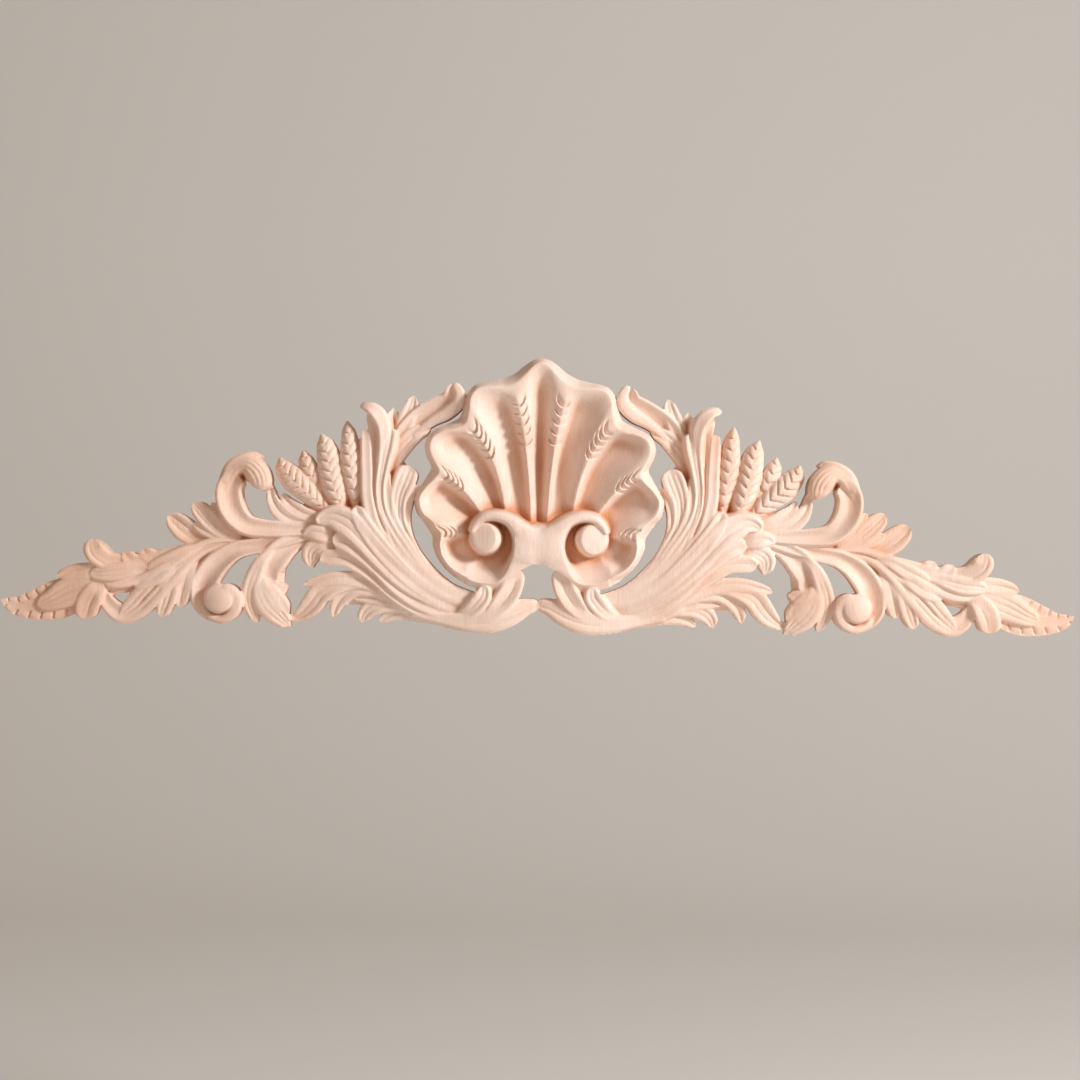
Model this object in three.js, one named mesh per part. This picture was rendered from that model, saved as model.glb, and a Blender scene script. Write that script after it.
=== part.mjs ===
// A carved wood ornament, to be fixed on a wall, a panel or a piece of furniture: a scallop shell between
// two leafy arms. Millimetres, +Z up. The flat back lies in the plane Y = 0 and the carving faces -Y.
// The origin is on the back, on the centre line, at the bridge under the shell.
//
// The whole ornament is one piece of wood. Its right half is worked out as a map, which holds for each
// place how far it stands out from the back and how far inside the outline it lies. Each leaf, rib, scroll
// and pod is a lobe carried along a curved line, and the shell is one fluted surface. The map becomes a
// mesh, which is thinned out, mirrored about the centre line and closed by upright sides and a flat back.

import * as THREE from "three";

const { clamp, smoothstep } = THREE.MathUtils;

// Driving sizes of the real ornament
const ORNAMENT_WIDTH = 1071;
const RELIEF_DEPTH = 48;

// The carving is drawn for an ornament of this width and depth, and scaled to the driving sizes
const DRAWN_WIDTH = 1071;
const DRAWN_DEPTH = 44.95;
const PLAN_SCALE = ORNAMENT_WIDTH / DRAWN_WIDTH;
const DEPTH_SCALE = RELIEF_DEPTH / DRAWN_DEPTH;

// The map, in drawn sizes: its reach out from the centre line, its rise and the size of its cells
const CELL = 2.25;
const MAP_OUT = 545;
const MAP_LOW = -104;
const MAP_HIGH = 186;
const NOWHERE = -60;
const THINNEST = 4;
const SPINE_STEP = 1.5;
const WALL_SLOPE = 4;
const CENTRE_BLEND = 4;
const CENTRE_BLEND_REACH = 8;

// The shell, in drawn sizes: depth of its flutes and height of the ribs between them, how far each flute's
// deepest line lies towards the middle, and how wide and steep the wall round its rim is
const SHELL_MIDDLE = [0.5, 20];
const SHELL_LAST_FLUTE = 4.6;
const FLUTE_DEPTH = 11;
const FLUTE_LEAN = 0.28;
const RIB_RISE = 3;
const RIM_IN_FLUTE = 5.5;
const RIM_ON_RIB = 4.5;
const RIM_AT_CREST = 2;
const RIM_FALL = 13;
const SHELL_BLEND = 0.8;
const FLUTE_STEPS = 900;
const RUN_STEPS = 240;
const RIM_STEPS = 30;

// The round ends of the volutes: bosses with a tilted face and a bevel on the side towards the middle
const BOSS_SLOPE = 6;
const BOSS_BLEND = 0.6;
const BOSSES = [
  { out: 52.5, up: 1, radius: 15.3, height: 39.5, tilt: -3.5, dome: 0.3, bevel: 4.5 },
  { out: 318, up: -62, radius: 13.5, height: 27.5, tilt: -1.5, dome: 3, bevel: 0.5 },
];

// The hollow round the shell's bosses. Towards the centre line it ends at a wall, whose radius grows with
// the angle from the top, from near to far, and whose slope grows with the distance. Elsewhere it is a bowl.
// The shares are of a half turn from the top.
const HOLLOW_FLOOR = 20;
const HOLLOW_NEAR = 17.5;
const HOLLOW_FAR = 30;
const HOLLOW_BLEND = 1.5;
const HOLLOW_WALL = { slope: 1.3, inner: 4, curve: 0.12 };
const BOWL_RISE = 15.5;
const BOWL_REACH = 24;
const BOWL_OUTER_RISE = 6;
const BOWL_SHARES = { top: 0.12, from: 0.62, to: 0.95 };

// The closed mesh has at most this many triangles
const TRIANGLE_LIMIT = 9750;
const SMALLEST_AREA = 0.02;
const LENGTH_WEIGHT = 0.001;
const OUTLINE_WEIGHT = 3;

// Shell lines by flute number: the crest and the hinge with their height, and the bend between them
const SHELL_CREST = [
  [0.00, 0, 174, 42], [0.16, 7.5, 172.5, 42], [0.32, 15.5, 164, 42], [0.44, 23.5, 154.5, 41.5],
  [0.56, 33, 150, 41], [0.72, 44.5, 149.5, 41], [0.90, 55.5, 149.5, 41], [1.08, 64.5, 146, 41],
  [1.24, 69.5, 138, 41], [1.40, 70.5, 126, 41], [1.50, 73.5, 113, 40], [1.62, 84, 107.5, 40],
  [1.80, 96, 105, 40], [2.00, 106, 99, 40], [2.18, 109, 89, 40], [2.36, 105, 77.5, 39],
  [2.50, 98.5, 66, 39], [2.64, 103.5, 58, 38.5], [2.82, 112, 49.5, 38], [3.00, 118.5, 39, 38],
  [3.20, 115, 25, 37.5], [3.38, 105, 16, 37], [3.50, 96.5, 5.5, 37], [3.68, 97, -5.5, 37],
  [3.88, 94.5, -17.5, 37], [4.08, 85.5, -29, 37], [4.28, 72, -36.5, 38], [4.46, 56, -40.5, 39],
  [4.60, 38, -37, 40],
];
const SHELL_HINGE = [
  [0.00, 0, 10, 13], [0.50, 8, 10, 16], [1.00, 24, 9.5, 14], [1.50, 32, 11.5, 16],
  [2.00, 41, 13.5, 15], [2.50, 52, 15, 18], [3.00, 63, 13, 17], [3.50, 69, 4, 19],
  [4.00, 61.5, -10, 18], [4.40, 46.5, -16, 22], [4.60, 35.5, -16.5, 26],
];
const SHELL_BEND = [
  [0.00, 0, 90], [0.50, 10.5, 96.5], [1.00, 21.5, 88.5], [1.50, 39, 87], [2.00, 56, 81.5],
  [2.50, 71.5, 52], [3.00, 88, 39], [3.50, 82, 6.5], [4.00, 76.5, -17.5], [4.40, 50.5, -31],
  [4.60, 36.5, -26.5],
];

// One lobe. A station is how far out and up it lies, the half width there and the height, from base to tip.
// The options shape its section: scoop hollows the middle, rim raises it, edge rounds the edges, crown
// domes it, tilt slopes it across, wall is the slope of its sides and blend rounds the inner corners.
function lobe(name, stations, options = {}) {
  return { name, stations, scoop: 0, rim: 1, edge: 1, tilt: 0, crown: 0, tipLength: 1, tipPower: 0,
    wall: WALL_SLOPE, blend: 1.2, ...options };
}

// The leaf at the far end of the arm
function endLeaf() {
  return [
    lobe("end leaf", [
      [432, -49, 8, 12], [458, -59.5, 17, 11], [482, -68, 19.5, 9.5], [501.5, -72.5, 15.5, 8.5],
      [519.5, -74, 9.5, 7.5], [536, -67.5, 4, 7],
    ], { scoop: 1.5, rim: 1.0, tipLength: 2.2, tipPower: 0.8 }),
    lobe("end leaf middle", [
      [420, -43, 5, 16], [444, -50.5, 11, 17], [468, -59.5, 14.5, 15], [487.5, -69, 10, 12.5],
      [499.5, -73, 6.5, 10],
    ], { scoop: 1.2, rim: 1.5, tipLength: 1.1 }),
    lobe("end leaf top", [
      [424, -38, 4, 13], [444, -38, 8, 18], [461, -39.5, 8, 16.5], [478, -44, 4.5, 14.5],
    ], { scoop: 1.5, rim: 1.5, tipLength: 1.4 }),
    lobe("end leaf low", [
      [426, -47, 6, 13], [439, -57, 10, 18.5], [447.5, -70.5, 12, 17], [450.5, -85.5, 10, 14.5],
    ], { scoop: 2.0, rim: 1.5, tipLength: 0.6 }),
  ];
}

// The leaf whose bulb curls up beside the end leaf
function curlLeaf() {
  return [
    lobe("curl low", [
      [378.5, -34, 4, 14], [398, -42.5, 7, 18.5], [415, -47.5, 7.5, 19.5], [431, -49, 5, 18],
    ], { scoop: 1.5, rim: 1.5, tipLength: 1.1 }),
    lobe("curl mid", [
      [378.5, -26, 4, 14], [402.5, -34, 7, 20], [420, -38.5, 9, 21.5], [434, -40, 8, 21],
      [445.5, -41, 4.5, 19],
    ], { scoop: 1.5, rim: 1.5, tipLength: 1.2 }),
    lobe("curl top1", [
      [370.5, -23, 5, 13], [384.5, -23, 8, 19], [393.5, -15.5, 5.5, 18.5],
    ], { scoop: 1.8, rim: 1.4, tipLength: 1.0 }),
    lobe("curl top2", [
      [388.5, -31.5, 5, 13], [402.5, -28, 8, 19.5], [411.5, -18.5, 6, 19.5],
    ], { scoop: 1.8, rim: 1.4, tipLength: 1.0 }),
    lobe("curl main", [
      [338.5, -13.5, 6, 18], [366.5, -21.5, 8, 18.5], [390.5, -28, 8.5, 19], [412.5, -29.5, 8.5, 19],
      [429.5, -27, 10, 21.5], [439.5, -18.5, 11, 24.5], [440.5, -6.5, 9.5, 26],
    ], { scoop: 2.0, rim: 2, tipLength: 1.0 }),
  ];
}

// The long hanging leaf and its hooked end
function longLeaf() {
  return [
    lobe("hook", [
      [397.5, -74.5, 10, 14], [414.5, -79.5, 10, 13.5], [426.5, -71, 8, 14], [432, -58, 5.5, 15],
    ], { scoop: 2.5, rim: 1.5 }),
    lobe("long leaf", [
      [298.5, -8, 4, 19], [331.5, -12.5, 7, 20.5], [353.5, -26, 10, 21.5], [370, -42, 13, 21],
      [386, -58.5, 14, 19], [399.5, -72.5, 13, 16], [417.5, -86, 5, 13],
    ], { scoop: 1.5, rim: 1.2, tipLength: 1.8, tipPower: 0.58 }),
    lobe("long left1", [
      [326.5, -11.5, 3, 15], [348.5, -16.5, 6, 22], [368.5, -27, 8, 22], [387.5, -36, 6.5, 19.5],
    ], { scoop: 1.5, rim: 1.5, tipLength: 1.0 }),
    lobe("long left2", [
      [348.5, -25.5, 3, 15], [368.5, -35, 7, 22], [385, -44.5, 8.5, 20.5], [402.5, -50.5, 6.5, 18],
    ], { scoop: 1.5, rim: 1.5, tipLength: 1.0 }),
    lobe("long right1", [
      [354.5, -32, 3, 15], [364, -50, 9, 20], [369.5, -67, 9, 18], [375, -82, 5.5, 15],
    ], { scoop: 1.8, rim: 1.5, tipLength: 1.1 }),
    lobe("long right2", [
      [338.5, -21.5, 3, 15], [348, -40.5, 8, 20], [353, -58, 8.5, 18.5], [356.5, -72, 5.5, 16],
    ], { scoop: 1.8, rim: 1.5, tipLength: 1.1 }),
  ];
}

// The leaves that grow outward from the scroll
function sideLeaves() {
  return [
    lobe("side leaf low", [
      [322.5, -12.5, 5, 14], [339, -4.5, 9.5, 15.5], [353, 5, 12, 16.5], [362, 12.5, 10, 16],
      [369, 18, 7, 15],
    ], { scoop: 3.5, rim: 1.6, tipLength: 1.1 }),
    lobe("side leaf mid", [
      [300.5, -8, 3.5, 17], [322, 0.5, 6.5, 18.5], [335, 6.5, 6.5, 18], [344, 11, 3.5, 16.5],
    ], { scoop: 1.2, rim: 1.3, tipLength: 1.2, tipPower: 0.58 }),
    lobe("side leaf up", [
      [298.5, -6, 5, 18], [316, 5, 9, 19.5], [331, 18, 10, 20], [343.5, 31, 6, 18],
    ], { scoop: 2.0, rim: 1.5, tipLength: 1.2 }),
    lobe("side leaf right", [
      [299, 0, 4, 18], [311, 14, 7, 19.5], [319, 24, 6, 19], [326, 31.5, 3.5, 18],
    ], { scoop: 1.5, rim: 1.3, tipLength: 1.2, tipPower: 0.58 }),
  ];
}

// The big upper scroll and the leaf rolled over its top
function rollingScroll() {
  return [
    lobe("scroll band", [
      [191, 10, 5, 16], [221, 8.5, 7, 21], [249, 7, 7.5, 23], [268, 7, 8.5, 24],
      [291.5, 11.5, 10.5, 25.5], [306, 30, 13, 27], [307, 48, 12.5, 27], [298, 60, 10, 28],
    ], { scoop: 5, rim: 2, tipLength: 0.4, tilt: -1.5 }),
    lobe("scroll top", [
      [315.5, 35, 4, 17], [312.5, 50, 6, 24], [304, 66, 8, 30], [291, 75, 7, 32], [276, 78.5, 3.5, 29],
    ], { scoop: 1.0, rim: 1.4, tipLength: 1.3, tipPower: 0.58, blend: 4 }),
    lobe("scroll roll", [
      [300, 65, 5, 25], [291, 68.5, 9, 33], [279.5, 61, 10.5, 33], [275.5, 46.5, 9.5, 28],
    ], { scoop: -1.0, rim: 2, tipLength: 0.9 }),
    lobe("scroll flap", [
      [294, 73, 5, 27], [288, 62.5, 6, 26], [285.5, 51.5, 4, 22],
    ], { scoop: 1, rim: 1.2, tipLength: 1.3 }),
  ];
}

// The two small leaves inside the scroll
function sprout() {
  return [
    lobe("sprout left", [
      [193, 16, 4, 14], [223, 14.5, 5, 20], [245, 16, 7, 21.5], [259.5, 26, 8, 21],
      [266, 38.5, 5.5, 19.5], [266, 51, 3, 18],
    ], { scoop: 2, rim: 1.4, tipLength: 2.0, tipPower: 0.58 }),
    lobe("sprout right", [
      [187, 18, 4, 14], [209, 17.5, 5, 20], [231, 21, 7, 22], [244.5, 28, 7.5, 21], [252, 35.5, 5, 20],
      [255, 42.5, 2.5, 19],
    ], { scoop: 1.8, rim: 1.4, tipLength: 1.6, tipPower: 0.58 }),
  ];
}

// The four seed pods
function seedPods() {
  return [
    lobe("pod web", [
      [239, 24, 5, 13], [217.5, 28.5, 9, 14], [191.5, 31, 9, 15], [179.5, 37, 6, 15],
    ], { scoop: 0, rim: 1 }),
    lobe("pod1", [
      [209, 24.5, 7, 16], [228.5, 43, 11, 22], [247, 58.5, 12, 23.5], [255, 69, 8.5, 20],
      [258.5, 78.5, 3.5, 16],
    ], { crown: 5, rim: 1, tipLength: 2.2, tipPower: 0.65 }),
    lobe("pod2", [
      [209.5, 36.5, 4, 14], [221.5, 52.5, 7.5, 19], [230.5, 69, 8.5, 21], [235.5, 86, 3.5, 16],
    ], { crown: 4, rim: 1, tipLength: 2.4, tipPower: 0.65 }),
    lobe("pod3", [
      [195.5, 27, 7, 17], [201.5, 42.5, 11, 23], [207.5, 64.5, 12, 24.5], [211.5, 84.5, 10.5, 23],
      [218, 103, 4, 17],
    ], { crown: 5, rim: 1, tipLength: 2.4, tipPower: 0.65 }),
    lobe("pod4", [
      [181, 25, 4, 16], [183.5, 45, 7.5, 22], [187.5, 72, 10.5, 24.5], [189.5, 94, 8.5, 23],
      [192.5, 115.5, 3.5, 17],
    ], { crown: 5, rim: 1, tipLength: 2.4, tipPower: 0.65 }),
  ];
}

// The lower volute
function volute() {
  return [
    lobe("volute band", [
      [194, 4, 5, 16], [227, 3.5, 7, 21], [255, -4, 7.5, 22.5], [276.5, -9.5, 7.5, 23],
      [300.5, -15.5, 9, 23.5], [321, -31, 12.5, 22.5], [332, -50.5, 13, 21], [333, -67.5, 10.5, 20],
      [324.5, -77.5, 8, 19], [310.5, -78, 5, 18],
    ], { scoop: 5.5, rim: 1.5, tilt: -1.0 }),
    lobe("volute snail", [
      [333.5, -68.5, 3, 13], [326.5, -79.5, 4.5, 19], [311.5, -81.5, 6.5, 22.5],
      [299.5, -72.5, 7.5, 24.5], [297.5, -60, 7, 25.5], [304.5, -53, 7, 26.5], [314, -51, 8, 27],
    ], { scoop: 0, rim: 1.5, tipLength: 0.8 }),
  ];
}

// The leaf that drops beside the volute
function dropLeaf() {
  return [
    lobe("drop band", [
      [204, -1.5, 5, 15], [233, -2, 7, 20], [246.5, -8.5, 10.5, 22], [259.5, -20, 13.5, 23.5],
      [267.5, -33.5, 13, 23], [266, -48.5, 9, 19],
    ], { scoop: 4.5, rim: 2, tipLength: 0.8, tilt: 1 }),
    lobe("drop left", [
      [256.5, -10, 3, 17], [272.5, -22.5, 6, 24.5], [282, -41.5, 8.5, 24], [286.5, -62.5, 8, 21.5],
      [278, -86.5, 3.5, 17],
    ], { scoop: 1.0, rim: 1.5, tipLength: 1.6, tipPower: 0.58 }),
    lobe("drop mid", [
      [276.5, -32.5, 4, 17], [275, -49.5, 9, 23.5], [268.5, -66.5, 13, 22], [257.5, -79, 11, 19.5],
      [245.5, -90, 3.5, 16],
    ], { scoop: 1.0, rim: 1.5, tipLength: 1.8, tipPower: 0.58 }),
    lobe("drop right", [
      [274, -39.5, 4, 17], [268, -52.5, 7, 22.5], [257, -65, 8, 21], [247.5, -77, 5, 18.5],
    ], { scoop: 1.2, rim: 1.5, tipLength: 1.4, tipPower: 0.58 }),
    lobe("drop corner", [
      [274, -48.5, 6, 19], [261, -53, 8.5, 21.5], [249, -49.5, 3.5, 19],
    ], { scoop: 1, rim: 1.2, tipLength: 1.0, tipPower: 0.58 }),
    lobe("drop body", [
      [272, -38.5, 7, 18], [273, -56.5, 13, 21.5], [263.5, -69.5, 13, 20.5], [255.5, -76, 9, 18],
    ], { scoop: 0, rim: 1, tipLength: 0.6, blend: 3 }),
  ];
}

// The fan-shaped leaf in the middle of the arm
function fanLeaf() {
  return [
    lobe("fan curl low", [
      [196.5, -7, 6, 19], [212.5, -9, 9, 25], [224.5, -15.5, 10.5, 23.5], [224, -31, 4.5, 20],
    ], { scoop: 1.5, rim: 1.5, tipLength: 1.4, tipPower: 0.58 }),
    lobe("fan curl mid", [
      [195, -1, 5, 19], [212, 2, 8.5, 27], [226, 3.5, 7, 26.5], [233.5, 0, 3.5, 24],
    ], { scoop: 1.5, rim: 1.5, tipLength: 1.2, tipPower: 0.58 }),
    lobe("fan low", [
      [53.5, -85.5, 5, 20], [75.5, -83, 6.5, 25], [99.5, -76.5, 7.5, 26.5], [121.5, -67, 8.5, 27.5],
      [142, -54.5, 8, 29], [160, -40, 7.5, 29.5], [176.5, -28.5, 8, 29.5], [191.5, -21.5, 8, 28.5],
      [203.5, -20.5, 8.5, 27.5], [216.5, -22.5, 6, 25.5],
    ], { scoop: 2.0, rim: 0.8, edge: 0.6, blend: 1.8 }),
    lobe("fan mid", [
      [66.5, -79, 6.5, 22], [92.5, -73.5, 6.5, 27], [118, -63, 8, 29.5], [138, -49.5, 8, 31.5],
      [158.5, -30.5, 7.5, 32.5], [177.5, -13, 9.5, 32.5], [192.5, -4.5, 9.5, 31.5],
      [204.5, -4.5, 7.5, 29.5],
    ], { scoop: 1.8, rim: 0.8, edge: 0.6, blend: 1.8 }),
    lobe("fan top", [
      [56.5, -73, 6.5, 22], [82.5, -67.5, 7.5, 27], [110, -56, 8.5, 30.5], [133, -41, 10, 33],
      [153.5, -22.5, 10.5, 34.5], [172, -3, 11, 35], [191, 14.5, 12.5, 33.5], [207, 19.5, 9.5, 31],
      [220, 13.5, 5, 29],
    ], { scoop: 1.8, rim: 0.8, tipLength: 1.2, edge: 0.6, blend: 1.8 }),
    lobe("fan tip", [
      [59.5, -70.5, 6.5, 22], [85.5, -65, 7.5, 27.5], [110, -52, 8, 31], [131, -36.5, 8.5, 33.5],
      [150.5, -17, 9, 34.5], [167.5, 4.5, 8.5, 35], [177, 19, 7.5, 34], [181, 30.5, 6, 32],
    ], { scoop: 1.8, rim: 0.8, edge: 0.6, blend: 1.8 }),
  ];
}

// The tall ribbed leaf
function plume() {
  return [
    lobe("plume1", [
      [41.5, -68, 6.5, 22], [68, -62.5, 7.5, 27], [95, -53.5, 7.5, 29.5], [121, -39, 8, 31],
      [145.5, -15, 7.5, 32.5], [161.5, 9.5, 6, 33], [169.5, 37, 5.5, 32], [171.5, 72, 5.5, 31],
      [173.5, 106.5, 4.5, 29],
    ], { scoop: 1.0, rim: 0.8, edge: 0.6, blend: 1.8 }),
    lobe("plume2", [
      [40.5, -67, 6.5, 22], [67, -61.5, 7.5, 27], [94, -52, 7.5, 30], [119, -36.5, 7.5, 31.5],
      [141, -11.5, 7, 32.5], [154.5, 11.5, 5.5, 32.5], [162, 37.5, 5, 31.5], [163.5, 72.5, 5, 30],
      [164, 100.5, 6, 29], [165, 117.5, 7.5, 27], [169, 125, 6, 25],
    ], { scoop: 2.2, rim: 0.8, edge: 0.6, blend: 1.8 }),
    lobe("plume2 hood", [
      [159, 75.5, 3, 30], [154.5, 97.5, 5.5, 32.5], [156, 113.5, 7, 34.5], [163, 124.5, 7, 36],
      [171, 129, 5, 35], [178.5, 128.5, 3, 32],
    ], { scoop: 1.0, rim: 2.0, tilt: -2.0, tipLength: 1.2 }),
    lobe("plume3", [
      [39.5, -66.5, 6.5, 22], [66, -61, 7.5, 27], [92, -51, 7.5, 30], [117.5, -34.5, 7.5, 31.5],
      [137.5, -8.5, 8, 32.5], [149, 13.5, 5, 32.5], [155.5, 29.5, 4.5, 32.5], [157.5, 47.5, 4.5, 33],
      [154, 75.5, 6, 33.5], [151, 92.5, 7.5, 33.5], [148.5, 108, 6.5, 31],
    ], { scoop: 1.8, rim: 0.8, tipLength: 0.7, edge: 0.6, blend: 1.8 }),
    lobe("plume4", [
      [38.5, -66, 6.5, 22], [65, -60.5, 7.5, 27], [91, -50.5, 7.5, 29.5], [115, -33, 7.5, 31],
      [134, -6, 8, 32], [144, 15.5, 5.5, 31.5], [149, 32.5, 5.5, 31.5], [151, 47.5, 5, 31],
      [152.5, 64.5, 4, 29],
    ], { scoop: 1.2, rim: 0.8, edge: 0.6, blend: 1.8 }),
    lobe("plume5", [
      [37.5, -66, 6.5, 22], [64, -60.5, 7.5, 27], [89, -50, 7, 29], [112.5, -31.5, 7, 30.5],
      [130.5, -4, 8, 31], [138.5, 17.5, 6.5, 31], [139, 39.5, 8.5, 31.5], [133, 58, 11, 31],
      [128, 71, 9, 27.5],
    ], { scoop: 2, rim: 0.8, tipLength: 0.8, edge: 0.6, blend: 1.8 }),
    lobe("plume6", [
      [36.5, -66, 6.5, 22], [63, -60.5, 6.5, 26.5], [88, -49.5, 6, 28], [110.5, -30.5, 6.5, 29],
      [127.5, -7, 6.5, 29.5], [132.5, 14, 5.5, 29.5], [132, 34, 6.5, 29], [124.5, 48, 5, 28],
      [118.5, 46, 4, 27],
    ], { scoop: 1.5, rim: 0.8, edge: 0.6, blend: 1.8 }),
  ];
}

// The branch that reaches the shell
function shellBranch() {
  return [
    lobe("branch low", [
      [153.5, 51.5, 5, 18], [146, 75.5, 8, 20.5], [135.5, 92, 9, 22.5], [122.5, 104, 7.5, 23.5],
      [109.5, 108, 4, 22],
    ], { scoop: 2, rim: 1.4, tipLength: 1.1, tipPower: 0.58 }),
    lobe("branch small", [
      [147.5, 87.5, 5, 17], [146.5, 107.5, 6.5, 19], [146.5, 129, 3.5, 18],
    ], { scoop: 1.5, rim: 1.2, tipLength: 1.6, tipPower: 0.58 }),
    lobe("branch up", [
      [144, 82.5, 5, 19], [138.5, 105.5, 8, 21.5], [131, 123, 8.5, 22.5], [126, 141.5, 4, 21],
    ], { scoop: 2, rim: 1.3, tipLength: 1.6, tipPower: 0.58 }),
    lobe("branch main", [
      [155.5, 45.5, 6, 18], [149, 72.5, 8, 20], [137.5, 98, 10, 22], [121.5, 117, 11, 23],
      [104, 128, 11.5, 25], [89, 138.5, 10, 28], [86.5, 153, 7.5, 32],
    ], { scoop: 4.5, rim: 1.8, tipLength: 1.0, tilt: -2.5 }),
    lobe("branch rim", [
      [124.5, 102, 3, 22], [106.5, 116.5, 5, 25], [91, 125.5, 6.5, 28], [81, 136.5, 6, 31],
      [81, 145.5, 5, 32], [87, 152.5, 3.5, 32],
    ], { scoop: 0, rim: 1.5 }),
  ];
}

// The lower leaf
function lowLeaf() {
  return [
    lobe("low stem", [
      [37.5, -84.5, 6, 28], [67.5, -85, 7, 26], [97.5, -79.5, 7, 25], [122.5, -72, 7, 24],
      [146, -62.5, 7, 23],
    ], { scoop: -1, rim: 1 }),
    lobe("low top", [
      [97.5, -78.5, 4, 24], [122.5, -68, 6, 25], [146, -55.5, 7.5, 25], [170, -45, 8, 25],
      [193, -41.5, 7.5, 24.5], [213, -43.5, 6.5, 23], [233, -48.5, 3, 20.5],
    ], { scoop: 1.2, rim: 1.4, tipLength: 1.8, tipPower: 0.58 }),
    lobe("low end", [
      [166, -48.5, 5, 23], [186, -46, 7, 24], [202, -49.5, 9, 24], [216, -56.5, 11, 22.5],
      [224.5, -67.5, 11, 20], [233, -76, 8.5, 17.5], [241, -80.5, 5, 15.5], [248.5, -79, 3.5, 14],
    ], { scoop: 2.5, rim: 1.5, tipLength: 1.8, tipPower: 0.58 }),
    lobe("low mid", [
      [140, -64.5, 4, 23], [162, -53.5, 6, 24], [182, -52, 8, 23], [195.5, -61, 8, 20.5],
      [203, -80, 3.5, 17],
    ], { scoop: 1.5, rim: 1.2, tipLength: 1.6, tipPower: 0.58, blend: 0.8 }),
    lobe("low right1", [
      [125.5, -70, 4, 22], [148, -62.5, 6, 22.5], [166, -60.5, 6, 21.5], [184, -60.5, 3, 19],
    ], { scoop: 1.2, rim: 1.3, tipLength: 1.3, tipPower: 0.58 }),
    lobe("low right2", [
      [119.5, -73, 4, 22], [141.5, -67.5, 7, 22.5], [159.5, -68, 8.5, 21.5], [170.5, -75, 8, 19],
      [174.5, -85, 4, 17],
    ], { scoop: 1.5, rim: 1.5, tipLength: 1.3, tipPower: 0.58 }),
    lobe("low right3", [
      [82.5, -83.5, 5, 23], [109.5, -77, 7.5, 22.5], [135.5, -74.5, 7.5, 20.5],
      [157.5, -83.5, 3.5, 17],
    ], { scoop: 1.2, rim: 1.5, tipLength: 1.3, tipPower: 0.58 }),
  ];
}

// The three lobes under the shell
function footScroll() {
  return [
    lobe("foot low", [
      [122.5, -75, 5, 24], [95.5, -79.5, 6.5, 27], [69.5, -82, 10, 31], [45.5, -79.5, 13, 34],
      [25.5, -73, 11.5, 34], [11.5, -66.5, 8.5, 32], [-1, -64.5, 5, 30],
    ], { scoop: 1.2, rim: 2.5, tipLength: 0.7 }),
    lobe("foot left", [
      [87.5, -78.5, 4, 22], [70.5, -73, 7.5, 32], [60, -64, 9, 36], [54, -55, 8.5, 37],
      [55, -45.5, 6, 35],
    ], { scoop: 2.2, rim: 2.0, tipLength: 1.2 }),
    lobe("foot mid", [
      [69.5, -83, 4, 23], [48.5, -75, 7, 34], [33, -59.5, 11, 37], [25, -45.5, 10.5, 37],
      [22.5, -28.5, 9, 34],
    ], { scoop: 3.5, rim: 2.2 }),
  ];
}

// The lower wood that ties the leaves together
function webs() {
  return [
    lobe("web hook", [
      [380, -50, 8, 12], [406, -52.5, 6, 12], [432, -59, 5, 11],
    ], { scoop: 0, rim: 1, tipLength: 0.6 }),
    lobe("web end", [
      [388.5, -32.5, 10, 13], [418, -41, 10, 12], [442, -45.5, 9, 11],
    ], { scoop: 0, rim: 1, tipLength: 0.6 }),
    lobe("web drop", [
      [256.5, -20, 7, 14], [262, -50.5, 9, 14], [259.5, -70.5, 9, 12],
    ], { scoop: 0, rim: 1, tipLength: 0.6 }),
    lobe("web scroll", [
      [289, -4.5, 8, 15], [313, -3, 9, 14], [333, 2.5, 8, 13],
    ], { scoop: 0, rim: 1, tipLength: 0.6 }),
    lobe("web branch", [
      [148, 67.5, 6, 14], [136.5, 96, 9, 14], [120.5, 114, 9, 14],
    ], { scoop: 0, rim: 1, tipLength: 0.6 }),
    lobe("web fan", [
      [138, -54.5, 12, 16], [178.5, -23, 12, 16], [208.5, -8.5, 9, 16],
    ], { scoop: 0, rim: 1, tipLength: 0.6 }),
    lobe("web low", [
      [127.5, -70, 8, 14], [168, -59, 9, 14], [208, -59.5, 9, 12],
    ], { scoop: 0, rim: 1, tipLength: 0.6 }),
    lobe("web plume", [
      [98, -49.5, 12, 16], [134.5, -18, 14, 16], [153, 22.5, 12, 16], [162, 67.5, 8, 16],
    ], { scoop: 0, rim: 1, tipLength: 0.6 }),
    lobe("web long", [
      [293.5, -10, 8, 15], [318.5, -14, 10, 15], [338.5, -21.5, 12, 14], [352, -38, 9, 13],
      [356, -54, 7, 12],
    ], { scoop: 0, rim: 1, tipLength: 0.6 }),
    lobe("web pods", [
      [177, 17, 8, 15], [179, 57, 8, 14], [180.5, 97, 6, 13],
    ], { scoop: 0, rim: 1, tipLength: 0.6 }),
    lobe("web branch2", [
      [147.5, 35.5, 9, 16], [145, 59.5, 9, 16], [138, 77.5, 7, 15],
    ], { scoop: 0, rim: 1, tipLength: 0.6 }),
    lobe("web foot", [
      [97.5, -69.5, 9, 16], [69.5, -67, 9, 17], [45.5, -65, 9, 18],
    ], { scoop: 0, rim: 1, tipLength: 0.6 }),
    lobe("web bands", [
      [239, 4, 5, 15], [274, -1.5, 6, 15], [303.5, -6, 6, 14],
    ], { scoop: 0, rim: 1, tipLength: 0.6 }),
    lobe("web lip", [
      [55, -47, 7, 15], [43, -49.5, 10, 17], [30, -48.5, 8, 17],
    ], { scoop: 0, rim: 1, tipLength: 0.6 }),
  ];
}

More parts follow.
